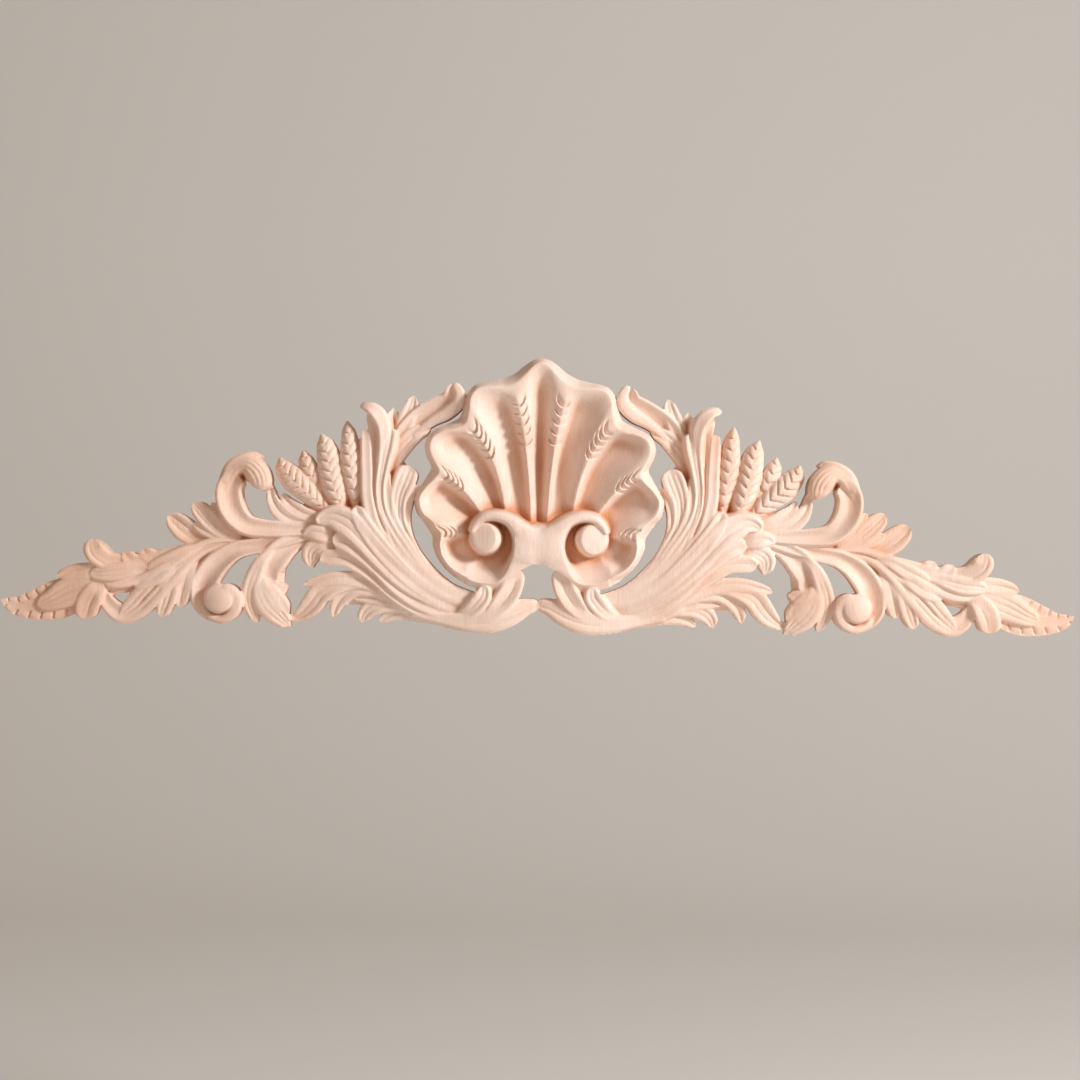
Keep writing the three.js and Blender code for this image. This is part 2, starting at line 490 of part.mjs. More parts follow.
// The rolled hinge of the shell and the wood under it
function shellVolute() {
  return [
    lobe("volute floor", [
      [70.5, -9, 14, 20], [50.5, -7, 22, 22], [30.5, -8.5, 18, 25],
    ], { rim: 0.5, wall: 1.0, blend: 3 }),
    lobe("volute groove", [
      [43, 11.5, 9, 27], [33, 4.5, 9, 28], [28.5, -8.5, 9, 30],
    ], { rim: 0.5, wall: 1.0, blend: 3 }),
    lobe("bridge", [
      [39.5, -14.5, 9, 38], [28.5, -9.5, 14.5, 41], [14.5, -6, 18, 42.5], [0, -5.5, 18.5, 42],
      [-15, -6, 18, 42.5], [-51.5, -9, 16, 41],
    ], { crown: 2, rim: 0.5, edge: 3, wall: 5, blend: 2 }),
    lobe("volute web", [
      [44.5, -26.5, 8, 14], [35.5, -25, 9.5, 15], [25.5, -22.5, 8, 16],
    ], { rim: 0.5, wall: 1.0, blend: 3 }),
    lobe("volute under", [
      [-0.5, -9, 12, 39.5], [11.5, -15, 11, 41], [23, -24, 8.5, 41], [36, -35, 6, 40.5],
      [54, -39, 4, 39.5], [70, -36, 3, 38.5],
    ], { crown: 0.5, rim: 0.3, edge: 0.5, wall: 1.0, blend: 5 }),
  ];
}

// The roll that passes over each of the shell's bosses, above the hollow
function shellBand() {
  return [
    lobe("volute over", [
      [-0.5, -5, 12, 40], [9, 1.5, 11, 42], [18, 9, 8.5, 43], [29.5, 19, 5.5, 43.5], [43, 23, 4.5, 43],
      [56, 20.5, 4, 41.5], [62.5, 14.5, 3.5, 39.5], [66.5, 6, 2.5, 37],
    ], { crown: 1.0, rim: 0.6, wall: 7, blend: 2.5 }),
  ];
}

// A smooth line through rows of values at given places, as a function of the place. The slope at an inner
// row is the mean of the slopes beside it, each weighted by the other's length.
function smoothLine(places, rows) {
  const last = rows.length - 1;
  const slopeBetween = (i, k) => (rows[i + 1][k] - rows[i][k]) / (places[i + 1] - places[i]);
  const endSlope = (end, inner, k) => 1.45 * slopeBetween(end, k) - 0.45 * slopeBetween(inner, k);
  const slopes = rows.map((row, i) => row.map((_, k) => {
    if (i === 0) return endSlope(0, Math.min(1, last - 1), k);
    if (i === last) return endSlope(last - 1, Math.max(0, last - 2), k);
    const before = places[i] - places[i - 1];
    const after = places[i + 1] - places[i];
    return (slopeBetween(i - 1, k) * after + slopeBetween(i, k) * before) / (before + after);
  }));
  return (place) => {
    let i = 0;
    while (i < last - 1 && place > places[i + 1]) i++;
    const span = places[i + 1] - places[i];
    const t = clamp((place - places[i]) / span, 0, 1);
    const s = 1 - t;
    return rows[i].map((value, k) => s * s * (1 + 2 * t) * value + t * t * (3 - 2 * t) * rows[i + 1][k]
      + t * s * s * span * slopes[i][k] - t * t * s * span * slopes[i + 1][k]);
  };
}

// Samples of a lobe's spine: its place, half width and height, its run from the base and its heading
function spineOf(stations) {
  const places = [0];
  for (let i = 1; i < stations.length; i++) {
    const outward = stations[i][0] - stations[i - 1][0];
    const upward = stations[i][1] - stations[i - 1][1];
    places.push(places[i - 1] + Math.hypot(outward, upward));
  }
  const valuesAt = smoothLine(places, stations);
  const steps = Math.max(8, Math.ceil(places.at(-1) / SPINE_STEP));
  const samples = Array.from({ length: steps + 1 }, (_, i) => {
    const [out, up, half, height] = valuesAt((i * places.at(-1)) / steps);
    return { out, up, half, height, run: 0 };
  });
  samples.forEach((sample, i) => {
    const before = samples[Math.max(i - 1, 0)];
    const after = samples[Math.min(i + 1, steps)];
    const span = Math.hypot(after.out - before.out, after.up - before.up);
    sample.headingOut = (after.out - before.out) / span;
    sample.headingUp = (after.up - before.up) / span;
    if (i > 0) sample.run = before.run + Math.hypot(sample.out - before.out, sample.up - before.up);
  });
  return samples;
}

// A sample's value at a run near it, mixed with the next or the previous sample's
function valueNear(samples, index, run, key) {
  const here = samples[index];
  const other = samples[clamp(run > here.run ? index + 1 : index - 1, 0, samples.length - 1)];
  if (other === here) return here[key];
  return THREE.MathUtils.lerp(here[key], other[key], clamp((run - here.run) / (other.run - here.run), 0, 1));
}

// Height and inside distance of a lobe at one place. The place takes the nearest sample of the spine.
// Across the lobe its height is the spine's, plus a rim that falls off at the edge, minus a scooped
// middle, plus a dome and a tilt. Past the edge it falls as a wall.
function lobeAt(shape, samples, out, up) {
  let index = 0;
  let least = Infinity;
  samples.forEach((sample, i) => {
    const distance = (out - sample.out) ** 2 + (up - sample.up) ** 2;
    if (distance < least) {
      least = distance;
      index = i;
    }
  });
  const near = samples[index];
  const length = samples.at(-1).run;
  const freeRun = near.run + (out - near.out) * near.headingOut + (up - near.up) * near.headingUp;
  const side = (up - near.up) * near.headingOut - (out - near.out) * near.headingUp;
  const past = Math.max(-freeRun, freeRun - length, 0);
  const run = clamp(freeRun, 0, length);
  const left = clamp((length - run) / (shape.tipLength * shape.stations.at(-1)[2]), 0, 1);
  const taper = shape.tipPower > 0 ? left ** shape.tipPower : Math.sqrt(1 - (1 - left) ** 2);
  const half = Math.max(valueNear(samples, index, run, "half") * taper, 0.15);
  const away = Math.hypot(past, side);
  const across = Math.sign(side) * Math.min(away / half, 1);
  const edge = Math.abs(across);
  const scooped = 0.25 + 0.75 * smoothstep(run / length, 0, 0.6);
  const hollow = scooped * (1 - Math.min(edge / 0.85, 1) ** 2) ** 1.3;
  const section = shape.rim * (1 - edge ** 4) - shape.edge * edge ** 4 - shape.scoop * hollow
    + shape.tilt * across + shape.crown * (1 - edge ** 2);
  const height = valueNear(samples, index, run, "height") + taper * section;
  return [height - shape.wall * Math.max(away - half, 0), half - away];
}

// The larger of two heights, with a quarter of the width added where they are equal
function smoothMax(first, second, width) {
  const share = clamp(0.5 + (0.5 * (second - first)) / width, 0, 1);
  return first * (1 - share) + second * share + width * share * (1 - share);
}

// An empty map. Its centre line lies midway between two columns, and it goes on a little past it.
function emptyMap() {
  const extra = Math.ceil(CENTRE_BLEND_REACH / CELL);
  const columns = extra + Math.ceil(MAP_OUT / CELL);
  const lines = Math.ceil((MAP_HIGH - MAP_LOW) / CELL);
  return {
    extra,
    columns,
    lines,
    outs: Array.from({ length: columns }, (_, column) => (column - extra + 0.5) * CELL),
    ups: Array.from({ length: lines }, (_, line) => MAP_LOW + line * CELL),
    height: new Float64Array(columns * lines).fill(NOWHERE),
    inside: new Float64Array(columns * lines).fill(NOWHERE),
  };
}

// Adds a height and an inside distance to one place of the map
function raise(map, place, height, inside, blend) {
  map.height[place] = smoothMax(map.height[place], height, blend);
  map.inside[place] = Math.max(map.inside[place], inside);
}

// Adds a lobe to the map, over the places that it can reach
function addLobe(map, shape) {
  const samples = spineOf(shape.stations);
  const room = Math.max(...shape.stations.map((station) => station[2])) + 10;
  const within = (value, key) => samples.some((sample) => Math.abs(sample[key] - value) < room);
  const columns = map.outs.map((out, column) => column).filter((column) => within(map.outs[column], "out"));
  const lines = map.ups.map((up, line) => line).filter((line) => within(map.ups[line], "up"));
  lines.forEach((line) => columns.forEach((column) => {
    const [height, inside] = lobeAt(shape, samples, map.outs[column], map.ups[line]);
    raise(map, line * map.columns + column, height, inside, shape.blend);
  }));
}

// A line of the shell as a function of the flute number, mirrored so that it is smooth over the middle
function shellLine(table) {
  const mirrored = table.slice(1, 3).reverse().map(([flute, out, ...rest]) => [-flute, -out, ...rest]);
  const rows = [...mirrored, ...table];
  return smoothLine(rows.map((row) => row[0]), rows.map((row) => row.slice(1)));
}

// Calls visit for places all over the shell with their height and inside distance. A flute's line is a
// quadratic curve from the hinge past its bend to the crest. Across the flutes the depth follows a raised
// cosine, deepest on each flute's own line and nothing on the ribs. A rounded wall falls off past the crest.
function visitShell(visit) {
  const [crestAt, hingeAt, bendAt] = [SHELL_CREST, SHELL_HINGE, SHELL_BEND].map(shellLine);
  for (let i = 0; i <= FLUTE_STEPS; i++) {
    const flute = (i * SHELL_LAST_FLUTE) / FLUTE_STEPS;
    const crest = crestAt(flute);
    const hinge = hingeAt(flute);
    const bend = bendAt(flute);
    const lean = flute > 0.5 ? FLUTE_LEAN : 0;
    const offset = flute - Math.round(flute) + lean;
    const aside = Math.abs(offset) / (offset < 0 ? 0.5 - lean : 0.5 + lean);
    const hollow = 0.65 * (0.5 + 0.5 * Math.cos(Math.PI * aside)) + 0.35 * (1 - aside);
    for (let j = 0; j <= RUN_STEPS; j++) {
      const run = j / RUN_STEPS;
      const [out, up] = [0, 1].map((k) => (1 - run) ** 2 * hinge[k] + 2 * run * (1 - run) * bend[k]
        + run ** 2 * crest[k]);
      const fade = (0.3 + 0.7 * smoothstep(run, 0, 0.45)) * (1 - smoothstep(run, 0.78, 1) ** 1.3);
      const level = THREE.MathUtils.lerp(hinge[2], crest[2], 1 - (1 - run) ** 1.2);
      visit(out, up, level + fade * (RIB_RISE * (1 - hollow) ** 2 - FLUTE_DEPTH * hollow), RIM_IN_FLUTE);
    }
    const toRim = new THREE.Vector2(crest[0] - SHELL_MIDDLE[0], crest[1] - SHELL_MIDDLE[1]).normalize();
    const dip = 0.5 - 0.5 * Math.cos(2 * Math.PI * flute);
    const rim = RIM_IN_FLUTE + RIM_ON_RIB * dip ** 1.5
      + RIM_AT_CREST * Math.exp(-(((flute - 0.3) / 0.15) ** 2));
    for (let j = 0; j <= RIM_STEPS; j++) {
      const past = (j * (rim + 2 * CELL)) / RIM_STEPS;
      const fall = RIM_FALL * (past / rim) ** 1.5;
      visit(crest[0] + toRim.x * past, crest[1] + toRim.y * past, crest[2] - fall, rim - past);
    }
  }
}

// Adds the shell to the map: each place on it goes to its cell, which keeps the mean
function addShell(map) {
  const sums = { count: new Float64Array(map.height.length) };
  sums.height = new Float64Array(map.height.length);
  sums.inside = new Float64Array(map.height.length);
  visitShell((out, up, height, inside) => {
    const column = Math.round((out - map.outs[0]) / CELL);
    const line = Math.round((up - MAP_LOW) / CELL);
    const place = line * map.columns + column;
    sums.count[place] += 1;
    sums.height[place] += height;
    sums.inside[place] += inside;
  });
  for (let line = 0; line < map.lines; line++) {
    for (let column = 0; column < map.columns; column++) {
      const source = column < map.extra ? 2 * map.extra - 1 - column : column;
      const from = line * map.columns + source;
      if (sums.count[from] === 0) continue;
      const height = sums.height[from] / sums.count[from];
      raise(map, line * map.columns + column, height, sums.inside[from] / sums.count[from], SHELL_BLEND);
    }
  }
}

// Adds a boss to the map. Its bevel is 1 mm wide, and wider on the side that faces the centre line.
function addBoss(map, boss) {
  map.ups.forEach((up, line) => map.outs.forEach((out, column) => {
    const away = Math.hypot(out - boss.out, up - boss.up);
    const bevel = 1 + boss.bevel * clamp((boss.out - out) / Math.max(away, 1e-6), 0, 1);
    const onBevel = clamp((away - boss.radius + bevel) / bevel, 0, 1);
    const height = boss.height + (boss.tilt * (out - boss.out)) / boss.radius
      + boss.dome * (1 - clamp(away / boss.radius, 0, 1) ** 2)
      - 0.8 * (1 + bevel) * onBevel ** 1.5 - BOSS_SLOPE * Math.max(away - boss.radius, 0);
    raise(map, line * map.columns + column, height, boss.radius - away, BOSS_BLEND);
  }));
}

// Lowers the map round a boss to the hollow's limit
function carveHollow(map, boss) {
  map.ups.forEach((up, line) => map.outs.forEach((out, column) => {
    const place = line * map.columns + column;
    const away = Math.hypot(out - boss.out, up - boss.up);
    const facing = (boss.out - out) / Math.max(away, 1e-6);
    const turn = Math.atan2(boss.out - out, up - boss.up) / Math.PI;
    const edge = HOLLOW_NEAR + (HOLLOW_FAR - HOLLOW_NEAR) * smoothstep(turn, 0, 1);
    const past = Math.max(away - edge, 0);
    const slope = HOLLOW_WALL.slope + HOLLOW_WALL.inner * clamp(facing, 0, 1) ** 2;
    const wall = slope * past + HOLLOW_WALL.curve * past ** 2;
    const bowl = BOWL_OUTER_RISE * clamp(-facing, 0, 1) ** 2
      + BOWL_RISE * (Math.max(away - HOLLOW_NEAR, 0) / BOWL_REACH) ** 1.5;
    const share = turn < 0
      ? smoothstep(-turn, 0, BOWL_SHARES.top)
      : smoothstep(turn, BOWL_SHARES.from, BOWL_SHARES.to);
    const limit = HOLLOW_FLOOR + wall + (bowl - wall) * share;
    map.height[place] = -smoothMax(-map.height[place], -limit, HOLLOW_BLEND);
  }));
}

// The map of the right half, blended over the centre line with its own mirror image. It keeps one column
// to the left of the centre line.
function carvedMap() {
  const map = emptyMap();
  const arm = [endLeaf, curlLeaf, longLeaf, sideLeaves, rollingScroll, sprout, seedPods, volute, dropLeaf,
    fanLeaf, plume, shellBranch, lowLeaf, footScroll, webs];
  [...arm, shellVolute].flatMap((leaf) => leaf()).forEach((shape) => addLobe(map, shape));
  addShell(map);
  carveHollow(map, BOSSES[0]);
  shellBand().forEach((shape) => addLobe(map, shape));
  BOSSES.forEach((boss) => addBoss(map, boss));
  const first = map.extra - 1;
  const columns = map.columns - first;
  const right = { ...map, columns, outs: map.outs.slice(first) };
  right.height = new Float64Array(columns * map.lines);
  right.inside = new Float64Array(columns * map.lines);
  for (let line = 0; line < map.lines; line++) {
    for (let column = 0; column < columns; column++) {
      const here = line * map.columns + first + column;
      const opposite = line * map.columns + first + 1 - column;
      const near = clamp(1 - Math.abs(right.outs[column]) / CENTRE_BLEND_REACH, 0, 1);
      const blends = near > 0 && column <= first + 1;
      const place = line * columns + column;
      const blend = 0.05 + CENTRE_BLEND * near ** 2;
      right.height[place] = blends
        ? smoothMax(map.height[here], map.height[opposite], blend) - blend / 4
        : map.height[here];
      right.inside[place] = blends ? Math.max(map.inside[here], map.inside[opposite]) : map.inside[here];
    }
  }
  return right;
}

// Fills one of the two open places wherever two filled places touch only at a corner, so that the outline
// never meets itself
function fillCorners(map) {
  const at = (line, column) => line * map.columns + column;
  for (let pass = 0; pass < 3; pass++) {
    for (let line = 0; line < map.lines - 1; line++) {
      for (let column = 0; column < map.columns - 1; column++) {
        const [a, b] = [at(line, column), at(line, column + 1)];
        const [c, d] = [at(line + 1, column), at(line + 1, column + 1)];
        const [insideA, insideB, insideC, insideD] = [a, b, c, d].map((place) => map.inside[place] > 0);
        if (insideA !== insideD || insideB !== insideC || insideA === insideB) continue;
        const open = insideA ? b : a;
        const beside = insideA ? [a, d] : [b, c];
        map.inside[open] = 0.1;
        map.height[open] = Math.min(...beside.map((place) => map.height[place]));
      }
    }
  }
}

// The front of the right half as an open mesh. Each cell between four places of the map has one point: its
// middle, or on the outline the mean of where the outline crosses the cell's sides. Each place inside the
// outline makes a square of the four points round it, split along its flatter diagonal.
function frontMesh(map) {
  const numbers = new Map();
  const points = [];
  const at = (line, column) => line * map.columns + column;
  const pointOf = (line, column) => {
    const key = at(line, column);
    if (numbers.has(key)) return numbers.get(key);
    const corners = [[0, 0], [1, 0], [1, 1], [0, 1]];
    const places = corners.map(([x, z]) => at(line + z, column + x));
    const held = places.filter((place) => map.inside[place] > 0);
    const height = held.reduce((sum, place) => sum + map.height[place], 0) / held.length;
    const cuts = [];
    corners.forEach(([x, z], k) => {
      const [nextX, nextZ] = corners[(k + 1) % 4];
      const first = map.inside[places[k]];
      const second = map.inside[places[(k + 1) % 4]];
      if (first > 0 === second > 0) return;
      const share = first / (first - second);
      cuts.push([x + share * (nextX - x), z + share * (nextZ - z)]);
    });
    const meanOf = (k) => cuts.reduce((sum, cut) => sum + cut[k], 0) / cuts.length;
    const [x, z] = cuts.length ? [meanOf(0), meanOf(1)] : [0.5, 0.5];
    const out = column === 0 ? 0 : map.outs[column] + x * CELL;
    numbers.set(key, points.length);
    points.push(new THREE.Vector3(out, -Math.max(height, THINNEST), map.ups[line] + z * CELL));
    return points.length - 1;
  };
  const faces = [];
  for (let line = 1; line < map.lines; line++) {
    for (let column = 1; column < map.columns; column++) {
      if (map.inside[at(line, column)] <= 0) continue;
      const [a, b] = [pointOf(line - 1, column - 1), pointOf(line - 1, column)];
      const [c, d] = [pointOf(line, column), pointOf(line, column - 1)];
      const bendAC = Math.abs(points[a].y - points[c].y);
      const bendBD = Math.abs(points[b].y - points[d].y);
      faces.push(...(bendAC < bendBD ? [[a, b, c], [a, c, d]] : [[a, b, d], [b, c, d]]));
    }
  }
  return { points, faces };
}

// Twice the area of a triangle as seen from the front, positive while it faces the front
function areaInPlan(a, b, c) {
  return (b.x - a.x) * (c.z - a.z) - (c.x - a.x) * (b.z - a.z);
}

// The squared distance of a point from the planes gathered in a quadric, each weighted by its area
function quadricError(q, p) {
  return q[0] * p.x * p.x + q[4] * p.y * p.y + q[7] * p.z * p.z + q[9]
    + 2 * (q[1] * p.x * p.y + q[2] * p.x * p.z + q[5] * p.y * p.z + q[3] * p.x + q[6] * p.y + q[8] * p.z);
}

// Adds a plane through a point to a quadric
function addPlane(quadric, normal, point, weight) {
  const { x, y, z } = normal;
  const d = -normal.dot(point);
  [x * x, x * y, x * z, x * d, y * y, y * z, y * d, z * z, z * d, d * d].forEach((value, k) => {
    quadric[k] += weight * value;
  });
}

// A heap whose pop gives the entry of least cost
function costHeap() {
  const entries = [];
  const swap = (i, j) => { [entries[i], entries[j]] = [entries[j], entries[i]]; };
  return {
    push(entry) {
      entries.push(entry);
      let i = entries.length - 1;
      while (i > 0 && entries[(i - 1) >> 1].cost > entries[i].cost) {
        swap(i, (i - 1) >> 1);
        i = (i - 1) >> 1;
      }
    },
    pop() {
      swap(0, entries.length - 1);
      const top = entries.pop();
      let i = 0;
      while (2 * i + 1 < entries.length) {
        let child = 2 * i + 1;
        if (child + 1 < entries.length && entries[child + 1].cost < entries[child].cost) child++;
        if (entries[i].cost <= entries[child].cost) break;
        swap(i, child);
        i = child;
      }
      return top;
    },
    isEmpty: () => entries.length === 0,
  };
}

// Thins out the front: merges the two ends of the edge that changes the surface least, again and again,
// until the closed ornament keeps to its limit. Points on the centre line stay on it, and the outline only
// merges along itself. Counted are both halves of the front, and for each outline point the two triangles
// of the side and the one of the back.
function thinOut({ points, faces }) {
  const around = points.map(() => new Set());
  const quadrics = points.map(() => new Float64Array(10));
  const stamps = new Uint32Array(points.length);
  const live = faces.slice();
  live.forEach((face, f) => {
    const [a, b, c] = face.map((v) => points[v]);
    const normal = new THREE.Vector3().crossVectors(b.clone().sub(a), c.clone().sub(a));
    const area = normal.length() / 2;
    normal.normalize();
    face.forEach((v) => {
      around[v].add(f);
      addPlane(quadrics[v], normal, a, area);
    });
  });
  const facesOn = (a, b) => [...around[a]].filter((f) => around[b].has(f));
  const neighbours = (v) => new Set([...around[v]].flatMap((f) => live[f]).filter((other) => other !== v));

  const onOutline = new Uint8Array(points.length);
  const onCentre = new Uint8Array(points.length);
  let outlineLength = 0;
  points.forEach((point, v) => neighbours(v).forEach((other) => {
    if (v > other || facesOn(v, other).length !== 1) return;
    const centre = point.x === 0 && points[other].x === 0;
    [v, other].forEach((end) => { (centre ? onCentre : onOutline)[end] = 1; });
    if (centre) return;
    outlineLength += 1;
    const along = points[other].clone().sub(point).setY(0);
    const normal = new THREE.Vector3(-along.z, 0, along.x).normalize();
    const weight = OUTLINE_WEIGHT * along.lengthSq();
    [v, other].forEach((end) => addPlane(quadrics[end], normal, point, weight));
  }));

  const targetsOf = (a, b, shared) => {
    const rankA = onOutline[a] + onCentre[a];
    const rankB = onOutline[b] + onCentre[b];
    if (rankA && rankB && shared !== 1) return [];
    if (rankA === 2 && rankB === 2) return [];
    if (rankA > rankB) return [points[a]];
    if (rankB > rankA) return [points[b]];
    return [points[a], points[b], points[a].clone().lerp(points[b], 0.5)];
  };
  const heap = costHeap();
  const pushEdge = (a, b) => {
    const sum = quadrics[a].map((value, k) => value + quadrics[b][k]);
    targetsOf(a, b, facesOn(a, b).length).forEach((target) => {
      const error = Math.max(quadricError(sum, target), 0);
      const cost = error + LENGTH_WEIGHT * points[a].distanceToSquared(points[b]);
      heap.push({ cost, a, b, stampA: stamps[a], stampB: stamps[b], target: target.clone() });
    });
  };
  points.forEach((_, v) => neighbours(v).forEach((other) => { if (v < other) pushEdge(v, other); }));

  let count = 2 * live.length + 6 * outlineLength;
  while (count > TRIANGLE_LIMIT && !heap.isEmpty()) {
    const { a, b, stampA, stampB, target } = heap.pop();
    if (stamps[a] !== stampA || stamps[b] !== stampB) continue;
    const shared = facesOn(a, b);
    const nextToB = neighbours(b);
    if ([...neighbours(a)].filter((v) => nextToB.has(v)).length !== shared.length) continue;
    const moved = (v) => (v === a || v === b ? target : points[v]);
    const kept = [...around[a], ...around[b]].filter((f) => !shared.includes(f));
    if (kept.some((f) => areaInPlan(...live[f].map(moved)) < SMALLEST_AREA)) continue;
    points[a].copy(target);
    quadrics[b].forEach((value, k) => { quadrics[a][k] += value; });
    shared.forEach((f) => {
      live[f].forEach((v) => around[v].delete(f));
      live[f] = null;
    });
    around[b].forEach((f) => {
      live[f] = live[f].map((v) => (v === b ? a : v));
      around[a].add(f);
    });
    around[b].clear();
    onOutline[a] = Math.max(onOutline[a], onOutline[b]);
    onCentre[a] = Math.max(onCentre[a], onCentre[b]);
    stamps[a]++;
    stamps[b]++;
    count -= 2 * shared.length;
    if (shared.length === 1 && points[a].x > 0) count -= 6;
    neighbours(a).forEach((v) => pushEdge(a, v));
  }
  return { points, faces: live.filter((face) => face) };
}

// The thinned front of both halves, as one mesh that shares the points on the centre line
function bothHalves({ points, faces }) {
  const used = [...new Set(faces.flat())];
  const whole = [];
  const right = new Map(used.map((v) => [v, whole.push(points[v]) - 1]));
  const left = new Map(used.map((v) => {
    const { x, y, z } = points[v];
    return [v, x === 0 ? right.get(v) : whole.push(new THREE.Vector3(-x, y, z)) - 1];
  }));
  const rightFaces = faces.map((face) => face.map((v) => right.get(v)));
  const leftFaces = faces.map(([a, b, c]) => [left.get(a), left.get(c), left.get(b)]);
  return { points: whole, faces: [...rightFaces, ...leftFaces] };
}

// The loops of points along the outline, each going round with the wood on its left
function outlineLoops(faces) {
  const next = new Map();
  const sides = new Set(faces.flatMap(([a, b, c]) => [`${a} ${b}`, `${b} ${c}`, `${c} ${a}`]));
  faces.forEach((face) => face.forEach((from, k) => {
    const to = face[(k + 1) % 3];
    if (!sides.has(`${to} ${from}`)) next.set(from, to);
  }));
  const loops = [];
  while (next.size) {
    const loop = [];
    let point = next.keys().next().value;
    while (next.has(point)) {
      loop.push(point);
      const following = next.get(point);
      next.delete(point);
      point = following;
    }
    loops.push(loop);
  }
  return loops;
}

// The front closed by upright sides down to the back and by the flat back, scaled to the driving sizes
function closedGeometry({ points, faces }) {
  const loops = outlineLoops(faces);
  const all = [...points];
  const foot = new Map();
  loops.flat().forEach((v) => foot.set(v, all.push(points[v].clone().setY(0)) - 1));
  const closed = [...faces];
  loops.forEach((loop) => loop.forEach((v, k) => {
    const after = loop[(k + 1) % loop.length];
    closed.push([after, v, foot.get(v)], [after, foot.get(v), foot.get(after)]);
  }));
  const flat = loops.map((loop) => loop.map((v) => new THREE.Vector2(points[v].x, points[v].z)));
  const order = loops.map((_, i) => i);
  order.sort((i, j) => Math.abs(THREE.ShapeUtils.area(flat[j])) - Math.abs(THREE.ShapeUtils.area(flat[i])));
  const [outer, ...holes] = order;
  const names = order.flatMap((i) => loops[i]);
  THREE.ShapeUtils.triangulateShape(flat[outer], holes.map((i) => flat[i])).forEach((face) => {
    const [a, b, c] = face.map((k) => names[k]);
    const turned = areaInPlan(points[a], points[b], points[c]) > 0;
    closed.push((turned ? [c, b, a] : [a, b, c]).map((v) => foot.get(v)));
  });
  const geometry = new THREE.BufferGeometry().setFromPoints(all);
  geometry.setIndex(closed.flat());
  geometry.scale(PLAN_SCALE, DEPTH_SCALE, PLAN_SCALE);
  geometry.computeVertexNormals();
  return geometry;
}

const rawWood = new THREE.MeshStandardMaterial({
  name: "raw_wood",
  color: 0xe3bfa0,
  roughness: 0.75,
  metalness: 0,
});

const map = carvedMap();
fillCorners(map);
const carving = new THREE.Mesh(closedGeometry(bothHalves(thinOut(frontMesh(map)))), rawWood);
carving.name = "carved_ornament";

const ornament = new THREE.Group();
ornament.add(carving);

export default ornament;
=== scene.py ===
"""Carved wood scroll ornament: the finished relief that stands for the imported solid.

The relief is worked out as two maps over one half of the ornament, mirrored about the centre line: how
far each place stands out from the flat back, and how far inside the outline it lies. Leaves, bands and
pods are lobes of the maps, each drawn by a spine with a half width and a height at its stations. The shell
is one surface in two parameters. Lengths are in the drawing's millimetres, with the origin on the flat
back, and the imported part's own width and depth scale them into metres.
"""

import math

import bpy
import numpy as np
from mathutils import Matrix, Vector


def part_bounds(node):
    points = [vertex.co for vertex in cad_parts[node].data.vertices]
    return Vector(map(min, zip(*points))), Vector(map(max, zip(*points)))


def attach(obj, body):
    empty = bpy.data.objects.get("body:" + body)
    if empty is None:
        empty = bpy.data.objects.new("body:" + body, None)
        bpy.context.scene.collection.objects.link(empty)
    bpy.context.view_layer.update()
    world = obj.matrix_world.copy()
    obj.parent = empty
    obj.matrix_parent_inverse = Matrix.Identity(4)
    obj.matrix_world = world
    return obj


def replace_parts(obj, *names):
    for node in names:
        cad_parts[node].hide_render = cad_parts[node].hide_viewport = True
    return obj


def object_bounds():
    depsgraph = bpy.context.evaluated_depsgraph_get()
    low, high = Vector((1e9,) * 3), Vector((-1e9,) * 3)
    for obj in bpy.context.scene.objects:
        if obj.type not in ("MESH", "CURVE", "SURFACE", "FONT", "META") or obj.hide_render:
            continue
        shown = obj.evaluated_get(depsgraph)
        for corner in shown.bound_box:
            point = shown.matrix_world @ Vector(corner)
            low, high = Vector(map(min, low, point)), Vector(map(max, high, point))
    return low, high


PART = "carved_ornament"

# Drawing and map
CELL = 0.8
MAP_REACH = (-8.0, 545.0)
MAP_RISE = (-104.0, 186.0)
NOWHERE = -60.0
THINNEST = 4.0
FILLED = 0.05
TINY = 1e-9
LAST_PLACE = 1.001
CENTRE_BLEND = (0.05, 4.0)
TRIANGLES = 190_000
SHARP_ANGLE = math.radians(38)

# Leaves, bands and pods: the spine, the walls and the scooped middle
SPINE_STEP = 1.0
SPINE_FINE = 2
SPINE_LEAST = 8
SPINE_END_CURVE = 0.45
LOBE_ROOM = 10
WALL_SLOPE = 4.0
NARROWEST = 0.15
SCOOP_AT_BASE = 0.25
SCOOP_FULL_AT = 0.6
SCOOP_REACH = 0.85

# Cuts in them: sides and bands are shares of the half width, growth, spread and ends of the length
VEIN_FADE = 8
CREASE_DEPTH = 0.9
CREASE_WIDTH = 0.9
CREASE_GROWTH = (0.2, 0.7)
CREASE_FADE = 1.2
CHEVRON_DEPTH = 3.2
CHEVRON_SPREAD = 0.86
CHEVRON_SLANT = 0.85
CHEVRON_END = 0.97
CHEVRON_FADE = 6
CHEVRON_SIDE = 1.4
CHIP_DEPTH = 3.0
CHIP_PITCH = 12.5
CHIP_RUN = 2.2
CHIP_SLANT = 0.5
CHIP_BAND = (0.36, 0.50, 0.85, 0.95)
CHIP_ENDS = (0.32, 0.36, 0.93, 0.96)

